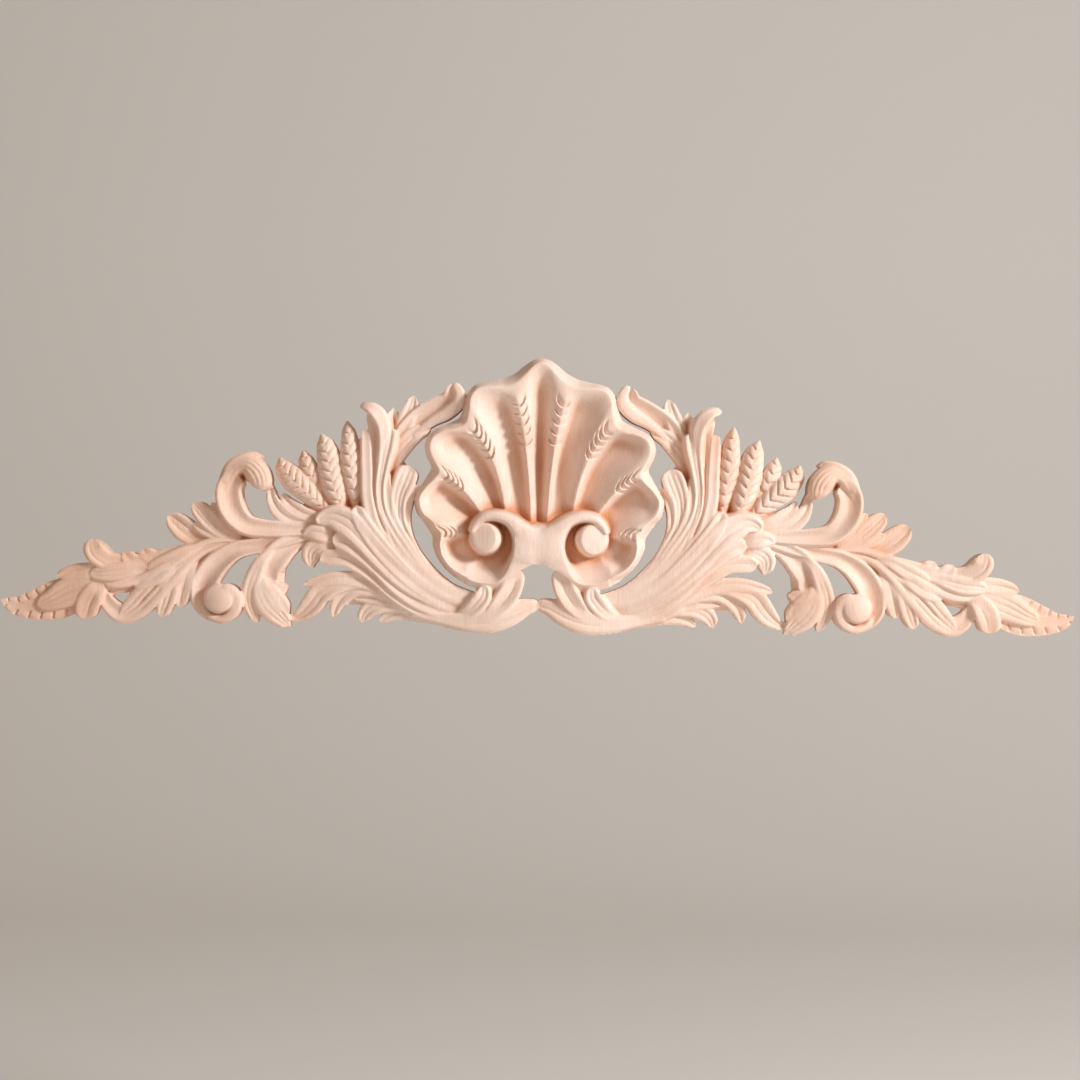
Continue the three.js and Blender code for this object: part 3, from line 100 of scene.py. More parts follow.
# Shell
SHELL_MIDDLE = (0.5, 20)
SHELL_LAST_FLUTE = 4.6
FLUTE_LINES = 1500
FLUTE_STEPS = 420
FLUTE_DEPTH = 11.0
FLUTE_LEAN = 0.28
FLUTE_ROUND = 0.65
FLUTE_AT_HINGE = 0.3
FLUTE_FULL_AT = 0.45
FLUTE_FADE_AT = 0.78
RIB_RISE = 3.0
NICK_DEPTH = 5.3
NICK_REACH = 8.2
NICK_FADE = 3
NICK_BOW = 0.10
NICK_FLUTES = 0.45
RIM_STEPS = 60
RIM_WIDTH = 5.5
RIM_AT_RIBS = 4.5
RIM_AT_SHOULDER = 2.0
SHOULDER = (0.3, 0.15)
RIM_ROOM = 4
SHELL_WALL_FALL = 13.0
SHELL_INSIDE = 5.0
SHELL_BLEND = 0.8

# The volute ends and the moat round the upper one
BOSS_BEVEL = 1.0
BOSS_BEVEL_FALL = 0.8
BOSS_WALL_SLOPE = 6.0
BOSS_BLEND = 0.6
MOAT_FLOOR = 20.0
MOAT_NEAR = 17.5
MOAT_FAR = 30.0
MOAT_WALL = (1.3, 4, 0.12)
MOAT_TURN = (0.12, 0.62, 0.95)
MOAT_BLEND = 1.5
BOWL_RISE = 15.5
BOWL_REACH = 24.0
BOWL_OUTER = 6

# Colour of the wood: grain and tone, painted shade in the hollows, painted light toward the centre
# Painted shade in the hollows: how far below its surroundings the wood must lie to take the full painted
# shade, and over how many cells the surroundings are taken
HOLLOW_DEPTH = 6.0
HOLLOW_REACH = 8
HOLLOW_LEAST = 0.05
WOOD_PALE = (0.895, 0.705, 0.61)
WOOD_WARM = (0.80, 0.53, 0.40)
# Painted shade: the warm brown that the colour is darkened toward in the hollows, where shade falls
PAINTED_HOLLOW_SHADE = (0.74, 0.46, 0.29)
STREAK = (0.86, 0.80, 0.74)
NO_STREAK = (1, 1, 1)
STREAK_SHARE = 0.6
FIBRE_SCALE = 900.0
FIBRE_STRETCH = (1.0, 1.0, 0.045)
TONE_SCALE = 14.0
# Painted light and shade: the tone is shifted paler near the centre line and darker toward the two ends
PAINTED_CENTRE_LIGHT = {"From Min": 0.08, "From Max": 0.5, "To Min": 0.16, "To Max": -0.16}
MIX_SHARE, MIX_FIRST, MIX_SECOND, MIX_RESULT = 0, 6, 7, 2

# Studio and camera
FLOOR_HEIGHT = -0.75
FLOOR_FRONT = -6.0
FLOOR_SIDE = 9.0
SWEEP_START = 2.4
SWEEP_RADIUS = 1.5
SWEEP_STEPS = 12
BACKDROP_TOP = 9.0
FLOOR_COLOUR = (0.80, 0.78, 0.75)
FLOOR_ROUGHNESS = 0.9
AIR_COLOUR = (1.0, 0.82, 0.67)
AIR_STRENGTH = 0.30
LIGHTS = {
    "window_light": ((3.1, -2.0, 1.55), 0.8, 170.0, (0.97, 0.985, 1.0)),
    "fill_light": ((-1.6, -3.2, 0.4), 2.5, 10.0, (1.0, 0.88, 0.78)),
}
LENS = 85.0
SENSOR = 36.0
PHOTO_SHARE = 1079.0 / 1080.0
PHOTO_TILT = math.radians(0.94)
NEAR_FACE = 0.02
CAMERA_SIDE = 0.0012
CAMERA_RISE = 0.0

# Shell lines: flute number, out, up, and the height for the crest and the hinge
SHELL_CREST = [
    [0, 0, 174, 42], [0.16, 7.5, 171, 42], [0.32, 15.5, 162, 42], [0.44, 23.5, 154.5, 41.5],
    [0.56, 33, 150, 41], [0.72, 44.5, 149.5, 41], [0.9, 55.5, 149.5, 41], [1.08, 64.5, 146, 41],
    [1.24, 69.5, 138, 41], [1.4, 70.5, 126, 41], [1.5, 73.5, 113, 40], [1.62, 84, 107.5, 40],
    [1.8, 96, 105, 40], [2, 106, 99, 40], [2.18, 109, 89, 40], [2.36, 105, 77.5, 39],
    [2.5, 98.5, 66, 39], [2.64, 103.5, 58, 38.5], [2.82, 112, 49.5, 38], [3, 118.5, 39, 38],
    [3.2, 115, 25, 37.5], [3.38, 105, 16, 37], [3.5, 96.5, 5.5, 37], [3.68, 97, -5.5, 37],
    [3.88, 94.5, -17.5, 37], [4.08, 85.5, -29, 37], [4.28, 72, -36.5, 38], [4.46, 56, -40.5, 39],
    [4.6, 38, -37, 40],
]
SHELL_HINGE = [
    [0, 0, 10, 13], [0.5, 8, 10, 16], [1, 24, 9.5, 14], [1.5, 32, 11.5, 16],
    [2, 41, 13.5, 15], [2.5, 52, 15, 18], [3, 63, 13, 17], [3.5, 69, 4, 19],
    [4, 61.5, -10, 18], [4.4, 46.5, -16, 22], [4.6, 35.5, -16.5, 26],
]
SHELL_BEND = [
    [0, 0, 90], [0.5, 10.5, 96.5], [1, 21.5, 88.5], [1.5, 39, 87], [2, 56, 81.5],
    [2.5, 71.5, 52], [3, 88, 39], [3.5, 82, 6.5], [4, 76.5, -17.5], [4.4, 50.5, -31],
    [4.6, 36.5, -26.5],
]

# Gouge nicks on the ribs: flute number, share of the flute's run where they start, how many, and pitch
SHELL_NICKS = [(0.47, 0.53, 5, 10.3), (1.47, 0.55, 5, 8.4), (2.48, 0.55, 4, 6.6), (3.49, 0.45, 3, 5.0)]

# What shapes a lobe, with the values of a plain one
PLAIN_LOBE = {
    "scoop": 0,  # how deep its middle is hollowed
    "rim": 1.5,  # how far its face stands above the spine's height
    "edge": 1.0,  # how far its edge lies below it
    "tilt": 0,  # how far one side stands above the middle and the other below
    "crown": 0,  # how far its middle domes up
    "vein": 0,  # depth of the vein down its middle
    "cuts": (),  # creases along it, at shares of its half width
    "chevrons": 0,  # how many chevrons cross it
    "chips": False,  # whether chip cuts cross it
    "tip": 1.0,  # length over which it narrows, as a share of its last half width
    "point": 0,  # power by which it narrows to a point, or 0 for a round end
    "wall": WALL_SLOPE,  # how steeply it falls past its edge
    "blend": 1.2,  # width over which it blends into what it meets
}
# A rib of the tall leaf or the fan: narrow, and run together with its neighbours
RIBBED = {"rim": 0.8, "edge": 0.6, "blend": 1.8}


def lobe(name, stations, **shape):
    """One lobe. A station is how far out and up it lies, its half width and its height, base to tip."""
    return {"name": name, "stations": stations, **PLAIN_LOBE, **shape}


# The leaf at the far end of the arm
END_LEAF = [
    lobe("end leaf", [[432, -49, 8, 12], [458, -59.5, 17, 11], [482, -68, 19.5, 9.5],
        [501.5, -72.5, 15.5, 8.5], [519.5, -74, 9.5, 7.5], [536, -67.5, 4, 7]
    ], scoop=1.5, rim=1, tip=2.2, point=0.8, chips=True),
    lobe("end leaf middle", [[420, -43, 5, 16], [444, -50.5, 11, 17], [468, -59.5, 14.5, 15],
        [487.5, -69, 10, 12.5], [499.5, -73, 6.5, 10]], scoop=1.2, tip=1.1, cuts=(-0.45, 0, 0.4)),
    lobe("end leaf top", [[424, -38, 4, 13], [444, -38, 8, 18], [461, -39.5, 8, 16.5], [478, -44, 4.5, 14.5]
    ], scoop=1.5, tip=1.4, cuts=(0.1,)),
    lobe("end leaf low", [[426, -47, 6, 13], [439, -57, 10, 18.5], [447.5, -70.5, 12, 17],
        [450.5, -85.5, 10, 14.5]], scoop=2, tip=0.6, cuts=(-0.2,)),
]

# The leaf whose bulb curls up beside the end leaf
CURL_LEAF = [
    lobe("curl low", [[378.5, -34, 4, 14], [398, -42.5, 7, 18.5], [415, -47.5, 7.5, 19.5], [431, -49, 5, 18]
    ], scoop=1.5, tip=1.1, cuts=(0.1,)),
    lobe("curl mid", [[378.5, -26, 4, 14], [402.5, -34, 7, 20], [420, -38.5, 9, 21.5], [434, -40, 8, 21],
        [445.5, -41, 4.5, 19]], scoop=1.5, tip=1.2, cuts=(-0.4, 0.1)),
    lobe("curl top1", [[370.5, -23, 5, 13], [384.5, -23, 8, 19], [393.5, -15.5, 5.5, 18.5]
    ], scoop=1.8, rim=1.4, cuts=(0,)),
    lobe("curl top2", [[388.5, -31.5, 5, 13], [402.5, -28, 8, 19.5], [411.5, -18.5, 6, 19.5]
    ], scoop=1.8, rim=1.4, cuts=(0,)),
    lobe("curl main", [[338.5, -13.5, 6, 18], [366.5, -21.5, 8, 18.5], [390.5, -28, 8.5, 19],
        [412.5, -29.5, 8.5, 19], [429.5, -27, 10, 21.5], [439.5, -18.5, 11, 24.5], [440.5, -6.5, 9.5, 26]
    ], scoop=2, rim=2, cuts=(-0.4,)),
]

# The long hanging leaf and its hooked end
LONG_LEAF = [
    lobe("hook", [[397.5, -74.5, 10, 14], [414.5, -79.5, 10, 13.5], [426.5, -71, 8, 14], [432, -58, 5.5, 15]
    ], scoop=2.5),
    lobe("long leaf", [[298.5, -8, 4, 19], [331.5, -12.5, 7, 20.5], [353.5, -26, 10, 21.5],
        [370, -42, 13, 21], [386, -58.5, 14, 19], [399.5, -72.5, 13, 16], [417.5, -86, 5, 13]
    ], scoop=1.5, rim=1.2, vein=2.4, tip=1.8, point=0.58, cuts=(-0.4, 0.4)),
    lobe("long left1", [[326.5, -11.5, 3, 15], [348.5, -16.5, 6, 22], [368.5, -27, 8, 22],
        [387.5, -36, 6.5, 19.5]], scoop=1.5, cuts=(0.1,)),
    lobe("long left2", [[348.5, -25.5, 3, 15], [368.5, -35, 7, 22], [385, -44.5, 8.5, 20.5],
        [402.5, -50.5, 6.5, 18]], scoop=1.5, cuts=(0,)),
    lobe("long right1", [[354.5, -32, 3, 15], [364, -50, 9, 20], [369.5, -67, 9, 18], [375, -82, 5.5, 15]
    ], scoop=1.8, tip=1.1, cuts=(-0.25, 0.3)),
    lobe("long right2", [[338.5, -21.5, 3, 15], [348, -40.5, 8, 20], [353, -58, 8.5, 18.5],
        [356.5, -72, 5.5, 16]], scoop=1.8, tip=1.1, cuts=(0.1,)),
]

# The leaves that grow outward from the scroll
SIDE_LEAVES = [
    lobe("side leaf low", [[322.5, -12.5, 5, 14], [339, -4.5, 9.5, 15.5], [353, 5, 12, 16.5],
        [362, 12.5, 10, 16], [369, 18, 7, 15]], scoop=3.5, rim=1.6, tip=1.1, cuts=(-0.3, 0.25)),
    lobe("side leaf mid", [[300.5, -8, 3.5, 17], [322, 0.5, 6.5, 18.5], [335, 6.5, 6.5, 18],
        [344, 11, 3.5, 16.5]], scoop=1.2, rim=1.3, tip=1.2, point=0.58, cuts=(0,)),
    lobe("side leaf up", [[298.5, -6, 5, 18], [316, 5, 9, 19.5], [331, 18, 10, 20], [343.5, 31, 6, 18]
    ], scoop=2, tip=1.2, cuts=(-0.45, 0, 0.4)),
    lobe("side leaf right", [[299, 0, 4, 18], [311, 14, 7, 19.5], [319, 24, 6, 19], [326, 31.5, 3.5, 18]
    ], scoop=1.5, rim=1.3, tip=1.2, point=0.58, cuts=(0,)),
]

# The big upper scroll and the leaf rolled over its top
ROLLING_SCROLL = [
    lobe("scroll band", [[191, 10, 5, 16], [221, 8.5, 7, 21], [249, 7, 7.5, 23], [268, 7, 8.5, 24],
        [291.5, 11.5, 10.5, 25.5], [306, 30, 13, 27], [307, 48, 12.5, 27], [298, 60, 10, 28]
    ], scoop=5, rim=2, tip=0.4, tilt=-1.5),
    lobe("scroll top", [[315.5, 35, 4, 17], [312.5, 50, 6, 24], [304, 66, 8, 30], [291, 75, 7, 32],
        [276, 78.5, 3.5, 29]], scoop=1, rim=1.4, tip=1.3, point=0.58, cuts=(-0.2, 0.35), blend=4),
    lobe("scroll roll", [[311.5, 55, 5, 26], [303, 67.5, 7.5, 28.5], [290, 70.5, 9.5, 31.5],
        [278.5, 61, 11, 32.5], [275.5, 45, 9, 28]], scoop=-1, rim=2, tip=0.7, cuts=(-0.5, -0.1, 0.35)),
    lobe("scroll flap", [[294, 73, 5, 27], [288, 62.5, 6, 26], [285.5, 51.5, 4, 22]
    ], scoop=1, rim=1.2, tip=1.3, cuts=(0,)),
]

# The two small leaves inside the scroll
SPROUT = [
    lobe("sprout left", [[193, 16, 4, 14], [223, 14.5, 5, 20], [245, 16, 7, 21.5], [259.5, 26, 8, 21],
        [266, 38.5, 5.5, 19.5], [266, 51, 3, 18]], scoop=2, rim=1.4, tip=2, point=0.58, cuts=(0,)),
    lobe("sprout right", [[187, 18, 4, 14], [209, 17.5, 5, 20], [231, 21, 7, 22], [244.5, 28, 7.5, 21],
        [252, 35.5, 5, 20], [255, 42.5, 2.5, 19]], scoop=1.8, rim=1.4, tip=1.6, point=0.58, cuts=(0.1,)),
]

# The four seed pods
SEED_PODS = [
    lobe("pod web", [[239, 24, 5, 13], [217.5, 28.5, 9, 14], [191.5, 31, 9, 15], [179.5, 37, 6, 15]
    ], rim=1),
    lobe("pod1", [[209, 24.5, 7, 16], [228.5, 43, 11, 22], [247, 58.5, 12, 23.5], [255, 69, 8.5, 20],
        [258.5, 78.5, 3.5, 16]], crown=5, rim=1, tip=2.2, point=0.65, chevrons=7),
    lobe("pod2", [[209.5, 36.5, 4, 14], [221.5, 52.5, 7.5, 19], [230.5, 69, 8.5, 21], [235.5, 86, 3.5, 16]
    ], crown=4, rim=1, tip=2.4, point=0.65, chevrons=5),
    lobe("pod3", [[195.5, 27, 7, 17], [201.5, 42.5, 11, 23], [207.5, 64.5, 12, 24.5],
        [211.5, 84.5, 10.5, 23], [218, 103, 4, 17]], crown=5, rim=1, tip=2.4, point=0.65, chevrons=7),
    lobe("pod4", [[181, 25, 4, 16], [183.5, 45, 7.5, 22], [187.5, 72, 10.5, 24.5], [189.5, 94, 8.5, 23],
        [192.5, 115.5, 3.5, 17]], crown=5, rim=1, tip=2.4, point=0.65, chevrons=7),
]

# The lower volute
VOLUTE = [
    lobe("volute band", [[194, 4, 5, 16], [227, 3.5, 7, 21], [255, -4, 7.5, 22.5], [276.5, -9.5, 7.5, 23],
        [300.5, -15.5, 9, 23.5], [321, -31, 12.5, 22.5], [332, -50.5, 13, 21], [333, -67.5, 10.5, 20],
        [324.5, -77.5, 8, 18.5], [312.5, -79, 5.5, 17], [305.5, -75, 4.5, 17]], scoop=5.5, tilt=-1),
    lobe("volute snail", [[333.5, -68.5, 3, 13], [326.5, -80.5, 3, 20.5], [312.5, -84, 4, 23.5],
        [302, -77, 5.5, 25], [299.5, -63, 7, 26.5], [305.5, -57, 8, 28], [314, -57, 8, 28.5]], tip=0.8),
]

# The leaf that drops beside the volute
DROP_LEAF = [
    lobe("drop band", [[204, -1.5, 5, 15], [233, -2, 7, 20], [246.5, -8.5, 10.5, 22],
        [259.5, -20, 13.5, 23.5], [267.5, -33.5, 13, 23], [264, -50.5, 9, 20.5]
    ], scoop=4.5, rim=2, tip=0.8, tilt=1),
    lobe("drop left", [[256.5, -10, 3, 17], [272.5, -22.5, 6, 24.5], [282, -41.5, 8.5, 24],
        [286.5, -62.5, 8, 21.5], [278, -86.5, 3.5, 17]], scoop=1, tip=1.6, point=0.58, cuts=(-0.3, 0.3)),
    lobe("drop mid", [[276.5, -32.5, 4, 17], [275, -49.5, 9, 23.5], [268.5, -66.5, 13, 22],
        [257.5, -79, 11, 19.5], [245.5, -90, 3.5, 16]], scoop=1, tip=1.8, point=0.58, cuts=(-0.4, 0, 0.4)),
    lobe("drop right", [[274, -39.5, 4, 17], [268, -52.5, 7, 22.5], [257, -65, 8, 21], [247.5, -77, 5, 18.5]
    ], scoop=1.2, tip=1.4, point=0.58, cuts=(0.2,)),
    lobe("drop corner", [[274, -48.5, 6, 19], [261, -53, 8.5, 21.5], [249, -49.5, 3.5, 19]
    ], scoop=1, rim=1.2, point=0.58, blend=3),
    lobe("drop body", [[272, -38.5, 7, 18], [273, -56.5, 13, 21.5], [263.5, -69.5, 13, 20.5],
        [255.5, -76, 9, 18]], rim=1, tip=0.6, blend=3),
]

# The fan-shaped leaf in the middle of the arm
FAN_LEAF = [
    lobe("fan curl low", [[196.5, -7, 6, 19], [212.5, -9, 9, 25], [224.5, -15.5, 10.5, 23.5],
        [224, -31, 4.5, 20]], scoop=1.5, tip=1.4, point=0.58, cuts=(-0.5, -0.1, 0.35)),
    lobe("fan curl mid", [[195, -1, 5, 19], [212, 2, 8.5, 27], [226, 3.5, 7, 26.5], [233.5, 0, 3.5, 24]
    ], scoop=1.5, tip=1.2, point=0.58, cuts=(0.1,)),
    lobe("fan low", [[53.5, -85.5, 5, 20], [75.5, -83, 6.5, 25], [99.5, -76.5, 7.5, 26.5],
        [121.5, -67, 8.5, 27.5], [142, -54.5, 8, 29], [160, -40, 7.5, 29.5], [176.5, -28.5, 8, 29.5],
        [191.5, -21.5, 8, 28.5], [203.5, -20.5, 8.5, 27.5], [216.5, -22.5, 6, 25.5]
    ], scoop=2, cuts=(0,), **RIBBED),
    lobe("fan mid", [[66.5, -79, 6.5, 22], [92.5, -73.5, 6.5, 27], [118, -63, 8, 29.5],
        [138, -49.5, 8, 31.5], [158.5, -30.5, 7.5, 32.5], [177.5, -13, 9.5, 32.5], [192.5, -4.5, 9.5, 31.5],
        [204.5, -4.5, 7.5, 29.5]], scoop=1.8, cuts=(-0.15,), **RIBBED),
    lobe("fan top", [[56.5, -73, 6.5, 22], [82.5, -67.5, 7.5, 27], [110, -56, 8.5, 30.5],
        [133, -41, 10, 33], [153.5, -22.5, 10.5, 34.5], [172, -3, 11, 35], [191, 14.5, 12.5, 33.5],
        [207, 19.5, 9.5, 31], [220, 13.5, 5, 29]], scoop=1.8, cuts=(-0.3, 0.3), tip=1.2, **RIBBED),
    lobe("fan tip", [[59.5, -70.5, 6.5, 22], [85.5, -65, 7.5, 27.5], [110, -52, 8, 31],
        [131, -36.5, 8.5, 33.5], [150.5, -17, 9, 34.5], [167.5, 4.5, 8.5, 35], [177, 19, 7.5, 34],
        [181, 30.5, 6, 32]], scoop=1.8, cuts=(0,), **RIBBED),
]

# The tall ribbed leaf
PLUME = [
    lobe("plume1", [[41.5, -68, 6.5, 22], [68, -62.5, 7.5, 27], [95, -53.5, 7.5, 29.5], [121, -39, 8, 31],
        [145.5, -15, 7.5, 32.5], [161.5, 9.5, 6, 33], [169.5, 37, 5.5, 32], [171.5, 72, 5.5, 31],
        [173.5, 106.5, 4.5, 29]], scoop=1, **RIBBED),
    lobe("plume2", [[40.5, -67, 6.5, 22], [67, -61.5, 7.5, 27], [94, -52, 7.5, 30], [119, -36.5, 7.5, 31.5],
        [141, -11.5, 7, 32.5], [154.5, 11.5, 5.5, 32.5], [162, 37.5, 5, 31.5], [163.5, 72.5, 5, 30],
        [164, 100.5, 6, 29], [165, 117.5, 7.5, 27], [169, 125, 6, 25]], scoop=2.2, vein=1, **RIBBED),
    lobe("plume2 hood", [[159, 75.5, 3, 30], [154.5, 97.5, 5.5, 32.5], [156, 113.5, 7, 34.5],
        [163, 124.5, 7, 36], [171, 129, 5, 35], [178.5, 128.5, 3, 32]], scoop=1, rim=2, tilt=-2, tip=1.2),
    lobe("plume3", [[39.5, -66.5, 6.5, 22], [66, -61, 7.5, 27], [92, -51, 7.5, 30],
        [117.5, -34.5, 7.5, 31.5], [137.5, -8.5, 8, 32.5], [149, 13.5, 5, 32.5], [155.5, 29.5, 4.5, 32.5],
        [157.5, 47.5, 4.5, 33], [154, 75.5, 6, 33.5], [151, 92.5, 7.5, 33.5], [148.5, 108, 6.5, 31]
    ], scoop=1.8, tip=0.7, cuts=(-0.35, 0.3), **RIBBED),
    lobe("plume4", [[38.5, -66, 6.5, 22], [65, -60.5, 7.5, 27], [91, -50.5, 7.5, 29.5], [115, -33, 7.5, 31],
        [134, -6, 8, 32], [144, 15.5, 5.5, 31.5], [149, 32.5, 5.5, 31.5], [151, 47.5, 5, 31],
        [152.5, 64.5, 4, 29]], scoop=1.2, **RIBBED),
    lobe("plume5", [[37.5, -66, 6.5, 22], [64, -60.5, 7.5, 27], [89, -50, 7, 29], [112.5, -31.5, 7, 30.5],
        [130.5, -4, 8, 31], [138.5, 17.5, 6.5, 31], [139, 39.5, 8.5, 31.5], [133, 58, 11, 31],
        [128, 71, 9, 27.5]], scoop=2, tip=0.8, cuts=(-0.5, 0, 0.45), **RIBBED),
    lobe("plume6", [[36.5, -66, 6.5, 22], [63, -60.5, 6.5, 26.5], [88, -49.5, 6, 28],
        [110.5, -30.5, 6.5, 29], [127.5, -7, 6.5, 29.5], [132.5, 14, 5.5, 29.5], [132, 34, 6.5, 29],
        [124.5, 48, 5, 28], [118.5, 46, 4, 27]], scoop=1.5, cuts=(-0.1,), **RIBBED),
]

# The branch that reaches the shell
SHELL_BRANCH = [
    lobe("branch low", [[153.5, 51.5, 5, 18], [146, 75.5, 8, 20.5], [135.5, 92, 9, 22.5],
        [122.5, 104, 7.5, 23.5], [109.5, 108, 4, 22]
    ], scoop=2, rim=1.4, cuts=(-0.3, 0.2), tip=1.1, point=0.58),
    lobe("branch small", [[147.5, 87.5, 5, 17], [146.5, 107.5, 6.5, 19], [146.5, 129, 3.5, 18]
    ], scoop=1.5, rim=1.2, tip=1.6, point=0.58, cuts=(0,)),
    lobe("branch up", [[144, 82.5, 5, 19], [138.5, 105.5, 8, 21.5], [131, 123, 8.5, 22.5],
        [126, 141.5, 4, 21]], scoop=2, rim=1.3, tip=1.6, point=0.58, cuts=(-0.3, 0.3)),
    lobe("branch main", [[155.5, 45.5, 6, 18], [149, 72.5, 8, 20], [137.5, 98, 10, 22],
        [121.5, 117, 11, 23], [104, 128, 11.5, 25], [89, 138.5, 10, 28], [86.5, 153, 7.5, 32]
    ], scoop=4.5, rim=1.8, tilt=-2.5, cuts=(0.3,)),
    lobe("branch rim", [[124.5, 102, 3, 22], [106.5, 116.5, 5, 25], [91, 125.5, 6.5, 28],
        [81, 136.5, 6, 31], [81, 145.5, 5, 32], [87, 152.5, 3.5, 32]]),
]

# The lower leaf
LOW_LEAF = [
    lobe("low stem", [[37.5, -84.5, 6, 28], [67.5, -85, 7, 26], [97.5, -79.5, 7, 25], [122.5, -72, 7, 24],
        [146, -62.5, 7, 23]], scoop=-1, rim=1),
    lobe("low top", [[97.5, -78.5, 4, 24], [122.5, -68, 6, 25], [146, -55.5, 7.5, 25], [170, -45, 8, 25],
        [193, -41.5, 7.5, 24.5], [213, -43.5, 6.5, 23], [233, -48.5, 3, 20.5]
    ], scoop=1.2, rim=1.4, tip=1.8, point=0.58, cuts=(0.1,)),
    lobe("low end", [[166, -48.5, 5, 23], [186, -46, 7, 24], [202, -49.5, 9, 24], [216, -56.5, 11, 22.5],
        [224.5, -67.5, 11, 20], [233, -76, 8.5, 17.5], [241, -80.5, 5, 15.5], [248.5, -79, 3.5, 14]
    ], scoop=2.5, tip=1.8, point=0.58, cuts=(-0.35, 0.2)),
    lobe("low mid", [[140, -64.5, 4, 23], [162, -53.5, 6, 24], [182, -52, 8, 23], [195.5, -61, 8, 20.5],
        [203, -80, 3.5, 17]], scoop=1.5, rim=1.2, cuts=(-0.1,), tip=1.6, point=0.58, blend=0.8),
    lobe("low right1", [[125.5, -70, 4, 22], [148, -62.5, 6, 22.5], [166, -60.5, 6, 21.5],
        [184, -60.5, 3, 19]], scoop=1.2, rim=1.3, tip=1.3, point=0.58, cuts=(0,)),
    lobe("low right2", [[119.5, -73, 4, 22], [141.5, -67.5, 7, 22.5], [159.5, -68, 8.5, 21.5],
        [170.5, -75, 8, 19], [174.5, -85, 4, 17]], scoop=1.5, tip=1.3, point=0.58, cuts=(-0.3, 0.3)),
    lobe("low right3", [[82.5, -83.5, 5, 23], [109.5, -77, 7.5, 22.5], [135.5, -74.5, 7.5, 20.5],
        [157.5, -83.5, 3.5, 17]], scoop=1.2, tip=1.3, point=0.58, cuts=(0,)),
]

# The three lobes under the shell
FOOT_SCROLL = [
    lobe("foot low", [[122.5, -75, 5, 24], [95.5, -79.5, 6.5, 27], [69.5, -82, 10, 31],
        [45.5, -79.5, 13, 34], [25.5, -73, 11.5, 34], [11.5, -66.5, 8.5, 32], [-1, -64.5, 5, 30]
    ], scoop=1.2, rim=2.5, tip=0.7, cuts=(0.25,)),
    lobe("foot left", [[87.5, -78.5, 4, 22], [70.5, -73, 7.5, 32], [60, -64, 9, 36], [54, -55, 8.5, 37],
        [55, -45.5, 6, 35]], scoop=2.2, rim=2, cuts=(-0.2, 0.35), tip=1.2),
    lobe("foot mid", [[69.5, -83, 4, 23], [48.5, -75, 7, 34], [33, -59.5, 11, 37], [25, -45.5, 10.5, 37],
        [22.5, -28.5, 9, 34]], scoop=3.5, rim=2.2, cuts=(0.1,)),
]

# The lower wood that ties the leaves together
WEBS = [
    lobe(name, stations, rim=1, tip=0.6)
    for name, stations in {
        "web hook": [[380, -50, 8, 12], [406, -52.5, 6, 12], [432, -59, 5, 11]],
        "web end": [[388.5, -32.5, 10, 13], [418, -41, 10, 12], [442, -45.5, 9, 11]],
        "web drop": [[256.5, -20, 7, 14], [262, -50.5, 9, 14], [259.5, -70.5, 9, 12]],
        "web scroll": [[289, -4.5, 8, 15], [313, -3, 9, 14], [333, 2.5, 8, 13]],
        "web branch": [[148, 67.5, 6, 14], [136.5, 96, 9, 14], [120.5, 114, 9, 14]],
        "web fan": [[138, -54.5, 12, 16], [178.5, -23, 12, 16], [208.5, -8.5, 9, 16]],
        "web low": [[127.5, -70, 8, 14], [168, -59, 9, 14], [208, -59.5, 9, 12]],
        "web plume": [[98, -49.5, 12, 16], [134.5, -18, 14, 16], [153, 22.5, 12, 16], [162, 67.5, 8, 16]],
        "web long": [[293.5, -10, 8, 15], [318.5, -14, 10, 15], [338.5, -21.5, 12, 14], [352, -38, 9, 13],
            [356, -54, 7, 12]],
        "web pods": [[177, 17, 8, 15], [179, 57, 8, 14], [180.5, 97, 6, 13]],
        "web branch2": [[147.5, 35.5, 9, 16], [145, 59.5, 9, 16], [138, 77.5, 7, 15]],
        "web foot": [[97.5, -69.5, 9, 16], [69.5, -67, 9, 17], [45.5, -65, 9, 18]],
        "web bands": [[239, 4, 5, 15], [274, -1.5, 6, 15], [303.5, -6, 6, 14]],
        "web lip": [[55, -47, 7, 15], [43, -49.5, 10, 17], [30, -48.5, 8, 17]],
        "web recess": [[298.5, 54, 5, 15], [294, 61, 5, 16]],
    }.items()
]

# The rolled hinge of the shell and the wood under it
SHELL_LOBES = [
    lobe("volute floor", [[70.5, -9, 14, 20], [50.5, -7, 22, 22], [30.5, -8.5, 18, 25]
    ], rim=0.5, wall=1, blend=3),
    lobe("volute groove", [[43, 11.5, 9, 27], [33, 4.5, 9, 28], [28.5, -8.5, 9, 30]
    ], rim=0.5, wall=1, blend=3),
    lobe("bridge", [[39.5, -14.5, 9, 38], [28.5, -9.5, 14.5, 41], [14.5, -6, 18, 42.5], [0, -5.5, 18.5, 42],
        [-15, -6, 18, 42.5], [-51.5, -9, 16, 41]], crown=2, rim=0.5, edge=3, wall=5, blend=2),
    lobe("volute web", [[44.5, -26.5, 8, 14], [35.5, -25, 9.5, 15], [25.5, -22.5, 8, 16]
    ], rim=0.5, wall=1, blend=3),
    lobe("volute under", [[-0.5, -9, 12, 39.5], [11.5, -15, 11, 41], [23, -24, 8.5, 41], [36, -35, 6, 40.5],
        [54, -39, 4, 39.5], [70, -36, 3, 38.5]], crown=0.5, rim=0.3, edge=0.5, wall=1, blend=5),
]

# The end of the hinge's roll, over the hollow round its eye
VOLUTE_OVER = lobe("volute over", [
    [-0.5, -5, 12, 40], [9, 1.5, 11, 42], [18, 9, 8.5, 43], [29.5, 19, 5.5, 43.5], [43, 23, 4.5, 43],
    [56, 20.5, 4, 41.5], [62.5, 14.5, 3.5, 39.5], [66.5, 6, 2.5, 37],
], crown=1, rim=0.6, wall=7, blend=2.5)

